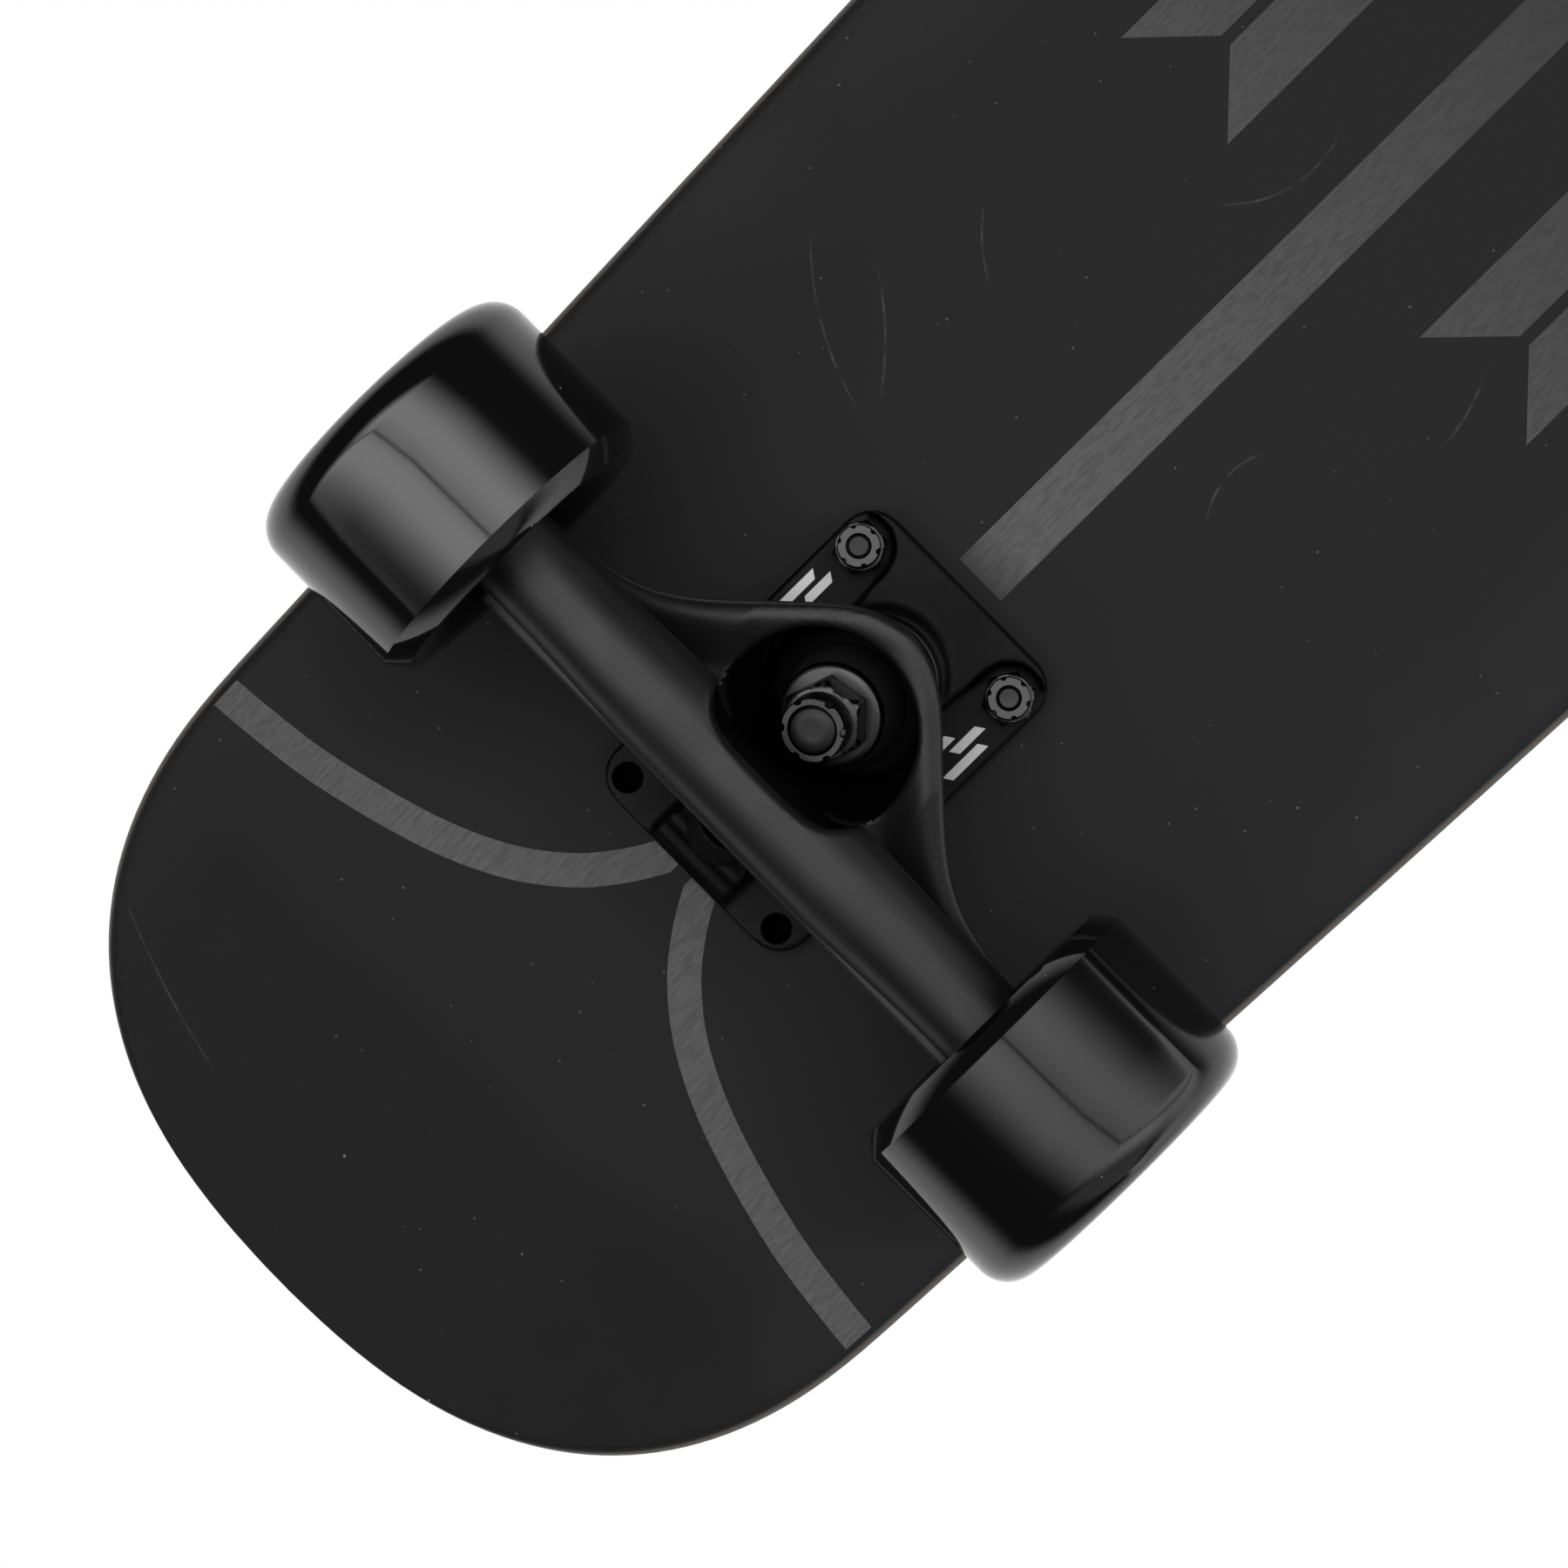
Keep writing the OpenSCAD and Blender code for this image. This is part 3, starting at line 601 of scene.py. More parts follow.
def kickRise(s):
    angle, radius, past = math.radians(deck["kickAngle"]), deck["kickRadius"], s - deck["kickStart"]
    bend = radius * math.sin(angle)
    if past < 0:
        return 0.0
    if past < bend:
        return radius - math.sqrt(radius ** 2 - past ** 2)
    return radius * (1 - math.cos(angle)) + (past - bend) * math.tan(angle)


def undersideAt(x, y):
    share = max(0.0, abs(y) - deck["flatHalf"]) / (deck["width"] / 2 - deck["flatHalf"])
    return layout["underside"] + kickRise(abs(x)) + deck["concave"] * share ** 2


def deckStations(inset):
    flat, power = deck["length"] / 2 - deck["endRound"], 2 / deck["endPower"]
    tip = []
    for i in range(deck["tipSteps"] + 1):
        a = math.radians(deck["endSweep"] * i / deck["tipSteps"])
        x = flat + (deck["endRound"] - inset) * math.sin(a) ** power
        tip.append((x, (halfTaper(x) - inset) * math.cos(a) ** power))
    count = deck["stations"] - 2 * deck["tipSteps"]
    middle = [flat * (2 * i / count - 1) for i in range(1, count)]
    return [(-x, h) for x, h in reversed(tip)] + [(x, halfTaper(abs(x)) - inset) for x in middle] + tip


def deckRing(x, half, low, high, soft):
    r = min(soft, half / 3)
    inner = half - r
    slant = 1 / math.cos(kickAt(abs(x)))
    across, steps = deck["across"], deck["edgeSteps"]
    ys = [inner * (2 * j / across - 1) for j in range(across + 1)]
    arc = [math.pi * j / steps for j in range(1, steps)]
    rim = [(r * math.sin(a), slant * (low + (high - low) * (1 - math.cos(a)) / 2)) for a in arc]
    edge = undersideAt(x, inner)
    ring = [(x, y, undersideAt(x, y) + low * slant) for y in ys]
    ring += [(x, inner + dy, edge + dz) for dy, dz in rim]
    ring += [(x, y, undersideAt(x, y) + high * slant) for y in reversed(ys)]
    return ring + [(x, -inner - dy, edge + dz) for dy, dz in reversed(rim)]


def deckSheet(name, inset, low, high, soft):
    rings = [deckRing(x, half, low, high, soft) for x, half in deckStations(inset)]
    poles = [(ring[0][0], 0, undersideAt(ring[0][0], 0) + (low + high) / 2) for ring in (rings[0], rings[-1])]
    return meshFrom(name, *ringSkin(rings, poles=poles), angle=40)


def buildDeck():
    mesh = deckSheet("deckBoard", 0, 0, deck["thickness"], deck["edgeRound"])
    mesh.materials.append(looks["deckStain"])
    mesh.materials.append(looks["plyEdge"])
    height = mesh.attributes.new("plyHeight", "FLOAT", "POINT")
    levels = []
    for v in mesh.vertices:
        base = undersideAt(v.co.x, min(abs(v.co.y), halfTaper(abs(v.co.x)) - deck["edgeRound"]))
        levels.append(min(1.0, max(0.0, (v.co.z - base) / (deck["thickness"] * deck["plyReach"]))))
    height.data.foreach_set("value", levels)
    for face in mesh.polygons:
        mean = sum(levels[i] for i in face.vertices) / len(face.vertices)
        face.material_index = 1 if mean > deck["stainEnd"] else 0
    finishPiece(linkPiece("deckBoard", mesh), Matrix.Identity(4), "board", "deck_wood", "deck")

    top = deck["thickness"]
    sheet = linkPiece("gripSheet", deckSheet("gripSheet", deck["gripInset"], top, top + deck["grip"],
                                             deck["grip"] / 2), looks["grip"])
    reach = deck["gripHole"]
    holes = [placed(spindle([(reach, -1), (reach, 3)], 48),
                    move(end * layout["boltCentre"] + x * layout["boltLong"] / 2, y * layout["boltWide"] / 2,
                         layout["underside"] + top))
             for end in ends.values() for x in (-1, 1) for y in (-1, 1)]
    cutAway(sheet, [joinShapes(holes)])
    finishPiece(sheet, Matrix.Identity(4), "board", "grip", "grip_tape")


buildDeck()
print("deck and grip tape made")

# printed marks on the underside

prints = {
    "film": 0.07, "sunk": 0.3, "stripeHalf": 5.75, "stripeStart": 39.3, "stripeSteps": 60, "arcHalf": 3.35,
    "plateEdge": -41.6, "railGap": 2.6, "barSteps": 20,
    "arc": [(-38.0, -3.0), (-42.2, -4.8), (-49.7, -9.3), (-57.6, -16.0), (-65.5, -26.6), (-72.3, -41.8),
            (-78.3, -63.5), (-80.9, -80.0), (-82.2, -93.5), (-83.0, -104.0), (-83.6, -114.0)],
    "bars": [
        [(133.0, -56.0), (147.0, -42.5), (205.0, -42.5), (205.0, -56.0)],
        [(133.0, -26.5), (147.0, -40.0), (205.0, -40.0), (205.0, -26.5)],
        [(133.0, 56.0), (147.0, 42.5), (205.0, 42.5), (205.0, 56.0)],
        [(133.0, 26.5), (147.0, 40.0), (205.0, 40.0), (205.0, 26.5)]],
}


def smoothPath(points, steps=10):
    # a Catmull-Rom curve through the points
    out = []
    for i in range(1, len(points) - 2):
        p0, p1, p2, p3 = (Vector(points[i + k]) for k in (-1, 0, 1, 2))
        for s in range(steps):
            t = s / steps
            out.append(0.5 * (2 * p1 + (p2 - p0) * t + (2 * p0 - 5 * p1 + 4 * p2 - p3) * t * t
                              + (3 * p1 - p0 - 3 * p2 + p3) * t ** 3))
    out.append(Vector(points[-2]))
    return out


def filmStrip(leftEdge, rightEdge, cross, end):
    # a thin film between two edges given in truck millimetres, laid on the underside
    def spot(u, v, lift):
        x, y = end * (layout["boltCentre"] - u), -end * v
        return (x, y, undersideAt(x, y) - lift)

    rows, wide = len(leftEdge), cross + 1
    spots = [(a[0] + (b[0] - a[0]) * k / cross, a[1] + (b[1] - a[1]) * k / cross)
             for a, b in zip(leftEdge, rightEdge) for k in range(wide)]
    verts = [spot(u, v, lift) for lift in (prints["film"], -prints["sunk"]) for u, v in spots]
    base, faces = rows * wide, []
    for i in range(rows - 1):
        for k in range(cross):
            a, b, c, d = i * wide + k, i * wide + k + 1, (i + 1) * wide + k + 1, (i + 1) * wide + k
            faces += [(a, b, c, d), (base + a, base + d, base + c, base + b)]
    rim = list(range(wide)) + [i * wide + cross for i in range(1, rows)]
    rim += [(rows - 1) * wide + k for k in range(cross - 1, -1, -1)]
    rim += [i * wide for i in range(rows - 2, 0, -1)]
    for i, a in enumerate(rim):
        b = rim[(i + 1) % len(rim)]
        faces.append((a, b, base + b, base + a))
    return verts, faces


def printedArc(mirror, end):
    path = smoothPath([(u, v * mirror) for u, v in prints["arc"]])
    rails = ([], [])
    for i, p in enumerate(path):
        ahead = path[min(i + 1, len(path) - 1)] - path[max(i - 1, 0)]
        normal = Vector((-ahead.y, ahead.x)).normalized() * prints["arcHalf"]
        rails[0].append(p + normal)
        rails[1].append(p - normal)
    # cut off square to the board at the baseplate and at the edge
    trimmed = []
    for edge in rails:
        kept = [q for q in edge if q.x < prints["plateEdge"]]
        limit = halfTaper(layout["boltCentre"] - kept[-1].x) - prints["railGap"]
        trimmed.append([Vector((prints["plateEdge"], kept[0].y))]
                       + [Vector((q.x, max(-limit, min(limit, q.y)))) for q in kept])
    size = min(len(r) for r in trimmed)
    trimmed = [[r[round(i * (len(r) - 1) / (size - 1))] for i in range(size)] for r in trimmed]
    return filmStrip(*trimmed, 4, end)


def buildPrints():
    half, steps = prints["stripeHalf"], prints["stripeSteps"]
    length = layout["boltCentre"] - prints["stripeStart"]
    us = [prints["stripeStart"] + length * i / steps for i in range(steps + 1)]
    parts = []
    for end in ends.values():
        parts.append(filmStrip([(u, -half) for u in us], [(u, half) for u in us], 6, end))
        parts += [printedArc(mirror, end) for mirror in (1, -1)]
        for bar in prints["bars"]:
            a, b, c, d = (Vector(p) for p in bar)
            shares = [i / prints["barSteps"] for i in range(prints["barSteps"] + 1)]
            parts.append(filmStrip([a.lerp(d, t) for t in shares], [b.lerp(c, t) for t in shares], 6, end))
    makePiece("deckMarks", joinShapes(parts), looks["deckPrint"], Matrix.Identity(4), "board", "deck_wood",
              angle=30)


buildPrints()
print("printed marks made")

# Geometry Nodes


def newTree(name, **inputs):
    # an empty Geometry Nodes tree with the incoming shape, its named sizes and the finish
    tree = bpy.data.node_groups.new(name, "GeometryNodeTree")
    tree.interface.new_socket("Geometry", in_out="INPUT", socket_type="NodeSocketGeometry")
    for kind, labels in inputs.items():
        for label in labels:
            tree.interface.new_socket(label, in_out="INPUT", socket_type="NodeSocket" + kind)
    tree.interface.new_socket("Finish", in_out="INPUT", socket_type="NodeSocketMaterial")
    tree.interface.new_socket("Geometry", in_out="OUTPUT", socket_type="NodeSocketGeometry")
    return tree, tree.nodes.new("NodeGroupInput").outputs


def closeTree(tree, given, shape):
    real = put(tree, "GeometryNodeRealizeInstances", None, Geometry=shape)
    finish = put(tree, "GeometryNodeSetMaterial", None, Geometry=real.outputs[0], Material=given["Finish"])
    tree.links.new(finish.outputs[0], tree.nodes.new("NodeGroupOutput").inputs["Geometry"])
    return tree


def makeFieldTree(name, labels, field):
    # a solid from a distance field: a volume is filled and then skinned
    cells = ("Cells X", "Cells Y", "Cells Z")
    tree, given = newTree(name, Float=labels, Vector=("Low", "High"), Int=cells)
    here = tree.nodes.new("GeometryNodeInputPosition").outputs[0]
    distance = field(tree, given, *put(tree, "ShaderNodeSeparateXYZ", None, Vector=here).outputs)
    # the skin lies where the density is a half, and the density falls by a tenth for each millimetre
    cube = put(tree, "GeometryNodeVolumeCube", None, Density=minus(tree, 0.5, times(tree, distance, 0.1)),
               Min=given["Low"], Max=given["High"])
    for label in cells:
        tree.links.new(given[label], cube.inputs[label.replace("Cells", "Resolution")])
    skin = put(tree, "GeometryNodeVolumeToMesh", None, Volume=cube.outputs["Volume"], Threshold=0.5)
    smooth = put(tree, "GeometryNodeSetShadeSmooth", None, Geometry=skin.outputs["Mesh"])
    return closeTree(tree, given, smooth.outputs["Geometry"])


def makeRepeatTree(name):
    # puts a copy of the incoming shape on the corners of a rectangle
    tree, given = newTree(name, Float=("Length", "Width"), Int=("Columns",))
    grid = tree.nodes.new("GeometryNodeMeshGrid")
    grid.inputs["Vertices Y"].default_value = 2
    for label, socket in (("Columns", "Vertices X"), ("Length", "Size X"), ("Width", "Size Y")):
        tree.links.new(given[label], grid.inputs[socket])
    spread = put(tree, "GeometryNodeInstanceOnPoints", None, Points=grid.outputs["Mesh"],
                 Instance=given["Geometry"])
    return closeTree(tree, given, spread.outputs["Instances"])


def makeRingTree(name):
    # copies the incoming shape round a circle
    tree, given = newTree(name, Float=("Radius",), Int=("Count",))
    circle = put(tree, "GeometryNodeMeshCircle", None, Vertices=given["Count"], Radius=given["Radius"])
    spread = put(tree, "GeometryNodeInstanceOnPoints", None, Points=circle.outputs["Mesh"],
                 Instance=given["Geometry"])
    return closeTree(tree, given, spread.outputs["Instances"])


def growWith(piece, tree, **values):
    change = piece.modifiers.new("repeat", "NODES")
    change.node_group = tree
    names = {item.name: item.identifier for item in tree.interface.items_tree
             if item.item_type == "SOCKET" and item.in_out == "INPUT"}
    for label, value in values.items():
        change[names[label]] = value
    return settle(piece)


repeatTree = makeRepeatTree("fourCorners")
ringTree = makeRingTree("roundTheAxle")

# cast hangers; names that start with a capital are the inputs of the hanger's node tree

hanger = {
    "Bar End": 9.1, "Bar Middle": 10.3, "Half Width": 66.7, "Web Top": 46.8, "Web Slope": 0.26,
    "Web Depth": 8.5, "Apex": 22.6, "Apex Round": 10.0, "Blend": 12.0, "Mouth Radius": 19.65,
    "Mouth Centre": -3.5, "Lip": 1.1,
    "Dip": 3.6, "Droop": 0.2,
    "barEase": (20.0, 56.0), "flank": (15.5, 15.0), "webRoot": 9.6, "webReach": 60.0,
    "dipSpan": (-13.0, -2.5), "droopFrom": 24.0, "seatLow": 15.6, "seatHigh": 18.6, "seatRadius": 15.5,
    "ringFoot": 14.2, "ringTop": 35.0, "noseBall": 5.45, "bowlFoot": 30.3, "bowlRise": 11.7,
    "bowlCentre": 3.2, "bowlRadius": 15.2,
    "recess": 12.3, "bore": 6.45,
    "voxel": 0.6, "low": (-37.0, -69.0, 7.0), "high": (27.0, 69.0, 66.0),
}


def growField(name, values, field, finish):
    labels = [label for label in values if label[0].isupper()]
    tree = makeFieldTree(name + "Field", labels, field)
    settings = {label: values[label] for label in labels}
    low, high = values["low"], values["high"]
    for axis, label in enumerate(("Cells X", "Cells Y", "Cells Z")):
        settings[label] = int(round((high[axis] - low[axis]) / values["voxel"]))
    piece = linkPiece(name, meshFrom(name, [(0, 0, 0), (1, 0, 0), (0, 1, 0)], [(0, 1, 2)]))
    return growWith(piece, tree, Low=low, High=high, Finish=finish, **settings)


def reachOf(tree, *sides):
    value = total(tree, *[times(tree, side, side) for side in sides])
    return calc(tree, "SQRT", value)


def meld(tree, a, b, reach):
    return put(tree, "ShaderNodeMath", {"operation": "SMOOTH_MIN"}, i0=a, i1=b, i2=reach).outputs[0]


def within(tree, a, b, reach):
    return put(tree, "ShaderNodeMath", {"operation": "SMOOTH_MAX"}, i0=a, i1=b, i2=reach).outputs[0]


def taperedRod(tree, x, y, z, start, stop, r0, r1, wide=1.0):
    # distance to a rod between two points of the middle plane, with its own radius at each end
    span = Vector(stop) - Vector(start)
    dx, dz = minus(tree, x, start[0]), minus(tree, z, start[1])
    along = total(tree, times(tree, dx, span.x), times(tree, dz, span.y))
    share = calc(tree, "DIVIDE", along, span.length_squared, clamp=True)
    ox, oz = minus(tree, dx, times(tree, share, span.x)), minus(tree, dz, times(tree, share, span.y))
    return minus(tree, reachOf(tree, ox, times(tree, y, 1 / wide), oz),
                 total(tree, times(tree, share, r1 - r0), r0))


def hangerField(tree, given, x, y, z):
    lean = math.radians(layout["kingpinLean"])
    cos, sin = math.cos(lean), math.sin(lean)
    off = sizeOf(tree, y)
    # the bar, thicker in the middle
    ease = ramp(tree, off, *hanger["barEase"], given["Bar Middle"], given["Bar End"])
    dx, dz = minus(tree, x, -layout["axleSet"]), minus(tree, z, layout["axleDrop"])
    bar = within(tree, minus(tree, reachOf(tree, dx, dz), ease), minus(tree, off, given["Half Width"]), 1.2)
    # the web: two flanks that meet at a rounded apex
    flankX, flankY = hanger["flank"]
    flank = total(tree, times(tree, minus(tree, x, flankX), 0.731),
                  times(tree, minus(tree, off, flankY), 0.682))
    outline = within(tree, flank, minus(tree, x, given["Apex"]), given["Apex Round"])
    root = total(tree, x, hanger["webRoot"])
    outline = within(tree, meld(tree, outline, root, 15.0), minus(tree, off, hanger["webReach"]), 3.0)
    dip = ramp(tree, outline, *hanger["dipSpan"], given["Dip"], 0.0)
    droop = times(tree, calc(tree, "MAXIMUM", minus(tree, off, hanger["droopFrom"]), 0.0), given["Droop"])
    rise = minus(tree, times(tree, total(tree, x, 1.0), given["Web Slope"]), total(tree, dip, droop))
    height = total(tree, given["Web Top"], rise)
    top = minus(tree, z, height)
    under = minus(tree, total(tree, height, times(tree, off, 0.04), times(tree, droop, 0.5)),
                  total(tree, z, given["Web Depth"]))
    web = within(tree, within(tree, within(tree, outline, top, 5.0), under, 5.0), minus(tree, -20.0, x), 3.0)
    body = meld(tree, bar, web, given["Blend"])
    # the ring below the web, round the kingpin, and the seat of the bushings in it
    px, pz = minus(tree, x, layout["kingpinX"]), minus(tree, z, layout["kingpinZ"])
    kx = total(tree, times(tree, px, cos), times(tree, pz, sin))
    kz = total(tree, times(tree, px, -sin), times(tree, pz, cos))
    kr = reachOf(tree, kx, y)
    foot = hanger["seatLow"]
    flare = minus(tree, kr, total(tree, times(tree, minus(tree, kz, foot), 0.30), hanger["ringFoot"]))
    flare = within(tree, flare, minus(tree, foot, kz), 1.2)
    flare = within(tree, flare, minus(tree, kz, hanger["ringTop"]), 2.0)
    body = meld(tree, body, flare, 4.0)
    seat = within(tree, minus(tree, kr, hanger["seatRadius"]), minus(tree, foot, kz), 1.0)
    body = meld(tree, body, within(tree, seat, minus(tree, kz, hanger["seatHigh"]), 1.0), 1.5)
    # the arm to the pivot nose
    noseRoot, neck = localNose @ Vector((0, 0, 8.0)), localNose @ Vector((0, 0, 1.0))
    rods = [((noseRoot.x, noseRoot.z), (-9.0, 43.0), 6.0, 8.5, 1.2, 5.0),
            ((neck.x, neck.z), (noseRoot.x, noseRoot.z), 4.6, 6.0, 1.0, 1.0)]
    for start, stop, r0, r1, wide, reach in rods:
        body = meld(tree, body, taperedRod(tree, x, y, z, start, stop, r0, r1, wide), reach)
    tip = reachOf(tree, minus(tree, x, layout["pivotX"]), y, minus(tree, z, layout["pivotZ"]))
    body = meld(tree, body, minus(tree, tip, hanger["noseBall"]), 0.5)
    # the ledge along the outer side of the bar
    edge = calc(tree, "MAXIMUM", minus(tree, sizeOf(tree, total(tree, x, 28.4)), 1.5),
                minus(tree, sizeOf(tree, minus(tree, z, 47.2)), 1.1))
    edge = minus(tree, calc(tree, "MAXIMUM", edge, minus(tree, off, 61.5)), 0.6)
    body = meld(tree, body, edge, 1.0)
    # the bowl round the bushing and the nut
    share = calc(tree, "DIVIDE", minus(tree, z, hanger["bowlFoot"]), hanger["bowlRise"])
    share = calc(tree, "MINIMUM", share, 1.0)
    low, narrow = hanger["bowlCentre"], hanger["bowlRadius"]
    centre = total(tree, times(tree, share, minus(tree, given["Mouth Centre"], low)), low)
    wide = total(tree, times(tree, share, minus(tree, given["Mouth Radius"], narrow)), narrow)
    hollow = times(tree, minus(tree, reachOf(tree, minus(tree, x, centre), y), wide), 0.95)
    shoulder = minus(tree, -10.2, total(tree, x, times(tree, minus(tree, z, 30.0), 0.21)))
    hollow = within(tree, within(tree, hollow, shoulder, 9.0), minus(tree, 21.6, kz), 2.0)
    body = within(tree, body, times(tree, hollow, -1.0), given["Lip"])
    recess = within(tree, minus(tree, kr, hanger["recess"]), minus(tree, kz, foot), 0.2)
    body = within(tree, body, times(tree, recess, -1.0), 0.3)
    return within(tree, body, minus(tree, hanger["bore"], kr), 0.3)


def inBowl(point):
    # points well down the wall of the bowl, which get a near-black finish as painted shade
    x, y, z = point
    share = min(1.0, (z - hanger["bowlFoot"]) / hanger["bowlRise"])
    centre = hanger["bowlCentre"] + share * (hanger["Mouth Centre"] - hanger["bowlCentre"])
    wide = hanger["bowlRadius"] + share * (hanger["Mouth Radius"] - hanger["bowlRadius"])
    if math.hypot(x - centre, y) > wide + 0.5 or x > 21.0 or x + 0.21 * (z - 30.0) < -10.9:
        return False
    mouth = 42.5 + max(0.0, 0.26 * x) + 1.2 * min(5.5, max(0.0, -4.0 - x))
    if x < -9.5:
        mouth += math.sqrt(max(0.0, 100.0 - (x + layout["axleSet"]) ** 2))
    return z < mouth


def paintFaces(piece, first, second, chosen):
    # the first look all over, and the second on the faces whose middle is chosen
    piece.data.materials.clear()
    piece.data.materials.append(looks[first])
    piece.data.materials.append(looks[second])
    for face in piece.data.polygons:
        face.material_index = 1 if chosen(face.center) else 0
    return piece


def buildHanger():
    return paintFaces(growField("hangerCast", hanger, hangerField, looks["paint"]), "paint", "bowl", inBowl)


# cast baseplates

casting = {"voxel": 0.55, "plateSmooth": 8, "easeShare": 0.5}
pivotCup = {"outer": 7.68, "inner": 5.58}
plate = {
    "inEnd": 35.9, "outEnd": 41.3, "half": 26.3, "corner": 7.0, "pad": 5.0, "wall": 10.0,
    "pocket": 7.0, "spareHole": -36.55, "holeRadius": 2.75, "holeShadeFloor": 0.5,
    "seat": [(12.6, -11.5), (13.4, -9.0), (13.4, -0.6), (12.8, 0.0)], "seatBore": 13.3, "pinBore": 4.76,
    "boss": [(4.0, -8.7), (7.6, -7.2), (9.2, -3.4), (9.3, 1.9), (8.9, 2.5)],
    "spine": [(-37.0, 8.8), (-20.0, 9.0), (20.0, 9.0), (20.0, 0.5)],
    "rib": [(-36.6, 4.0), (-36.6, 12.0), (-35.8, 13.0), (-33.9, 13.0), (-33.1, 12.0), (-33.1, 4.0)],
}


def meltTogether(piece, smoothing=0):
    # skins everything in one closed surface, and eases its edges
    change = piece.modifiers.new("melt", "REMESH")
    change.mode = "VOXEL"
    change.voxel_size = casting["voxel"]
    if smoothing:
        ease = piece.modifiers.new("ease", "SMOOTH")
        ease.factor = casting["easeShare"]
        ease.iterations = smoothing
    return settle(piece)


def fuse(name, shapes, cuts, smoothing):
    # melts the shapes together, takes the cuts away and rounds every edge a little
    work = bmesh.new()
    for shape in shapes:
        work.from_mesh(cleaned(shape))
    mesh = bpy.data.meshes.new(name)
    work.to_mesh(mesh)
    work.free()
    piece = meltTogether(linkPiece(name, mesh))
    return meltTogether(cutAway(piece, cuts), smoothing)


def roundedRect(x0, x1, half, radius, steps=8):
    out = []
    for cx, cy, start in ((x1 - radius, half - radius, 0), (x0 + radius, half - radius, 90),
                          (x0 + radius, radius - half, 180), (x1 - radius, radius - half, 270)):
        for s in range(steps + 1):
            a = math.radians(start + 90 * s / steps)
            out.append((cx + radius * math.cos(a), cy + radius * math.sin(a)))
    return out


# faces inside the spare bolt holes, which get painted shade
def inSpareHole(point):
    off = math.hypot(point.x - plate["spareHole"], abs(point.y) - layout["boltWide"] / 2)
    return off < plate["holeRadius"] + 0.1 and 0.1 < point.z < plate["pad"] - 0.4


def nutPocket(side):
    # room round a nut, open to the end of the plate and away from the middle
    cx, cy, r = layout["boltLong"] / 2, layout["boltWide"] / 2, plate["pocket"]
    path = [(cx + r * math.cos(math.radians(a)), cy + r * math.sin(math.radians(a)))
            for a in range(-90, 91, 9)]
    path += [(8.0, 40.0), (8.0, cy - r - 1.5)]
    return prism([(u, v * side) for u, v in path], plate["pad"], 30.0)


def buildBaseplate():
    x0, x1, half, corner = -plate["outEnd"], plate["inEnd"], plate["half"], plate["corner"]
    shapes = [prism(roundedRect(x0, x1, half, corner), 0, plate["pad"]),
              prism(roundedRect(14.0, x1 - 0.4, half - 0.4, corner - 0.5), 0, plate["wall"]),
              sideways([(x0 + 0.4, 0.5), (x0 + 0.6, 5.2), (x0 + 1.6, 8.0)] + plate["spine"], 9.9),
              sideways(plate["rib"], 9.4),
              placed(spindle(plate["seat"]), localPin)]
    verts, faces = placed(spindle(plate["boss"]), localNose)
    shapes.append(([(max(x, -32.9), y, min(z, 12.4)) for x, y, z in verts], faces))
    cuts = [nutPocket(side) for side in (-1, 1)]
    # keep the casting flat on the deck: nothing below zero
    cuts.append(prism([(-80, -60), (80, -60), (80, 60), (-80, 60)], -30.0, 0.0))
    cuts.append(placed(spindle([(pivotCup["outer"], -1.0), (pivotCup["outer"], 30.0)], 48), localNose))
    cuts.append(placed(spindle([(plate["seatBore"], 0.0), (plate["seatBore"], 20.0)], 64), localPin))
    piece = fuse("baseplateCast", shapes, cuts, casting["plateSmooth"])
    holes, r, pad = [], plate["holeRadius"], plate["pad"]
    for y in (-1, 1):
        for x in (-layout["boltLong"] / 2, layout["boltLong"] / 2, plate["spareHole"]):
            # the spare holes stay blind, and their floor and walls carry painted shade
            floor = plate["holeShadeFloor"] if x == plate["spareHole"] else -2.0
            hole = spindle([(r, floor), (r, pad - 0.5), (r + 0.8, pad + 0.5), (r + 0.8, 20.0)], 40)
            holes.append(placed(hole, move(x, y * layout["boltWide"] / 2, 0)))
    holes.append(placed(spindle([(plate["pinBore"], -20.0), (plate["pinBore"], 12.0)], 48), localPin))
    cutAway(piece, holes)
    softenShading(piece.data, 50)
    return paintFaces(piece, "plate", "pit", inSpareHole)


def copyPiece(source, name):
    return linkPiece(name, source.data.copy())


hangerCast = buildHanger()
plateCast = buildBaseplate()
for endName, end in ends.items():
    finishPiece(copyPiece(hangerCast, endName + "HangerCast"), truckPlace(end), endName + "_hanger_body",
                "truck_paint", endName + "_hanger")
    finishPiece(copyPiece(plateCast, endName + "BaseplateCast"), truckPlace(end), "board",
                "truck_paint", endName + "_baseplate")
bpy.data.objects.remove(hangerCast)
bpy.data.objects.remove(plateCast)
print("hangers and baseplates cast")

# nuts, bolts and pins

hardware = {
    "boltNut": {"flats": 9.5, "height": 8.0, "hexShare": 0.55, "collar": 4.25, "crown": 2.42, "bore": 2.42,
                "notches": 6, "notch": 0.6},
    "pinNut": {"flats": 14.3, "height": 11.2, "hexShare": 0.55, "collar": 6.25, "crown": 4.78, "bore": 4.76,
               "notches": 6, "notch": 0.75},
    "axleNut": {"flats": 12.7, "height": 6.8, "hexShare": 0.66, "collar": 5.5, "crown": 4.2, "bore": 3.98,
                "notches": 6, "notch": 0.4},
    "pinHead": [(6.9, -5.8), (7.5, -5.3), (7.5, -2.5), (7.0, -2.0)], "pinNutTurn": 11,
    "boltDiameter": 4.83, "boltEnd": 13.2, "boltPitch": 0.8, "pinTop": 45.6, "pinPitch": 1.2,
    "axlePitch": 1.0,
}
pinStack = {"washer": 1.6, "boardBushing": 14.0, "web": 6.0, "roadBushing": 11.0, "bushingRadius": 12.0}
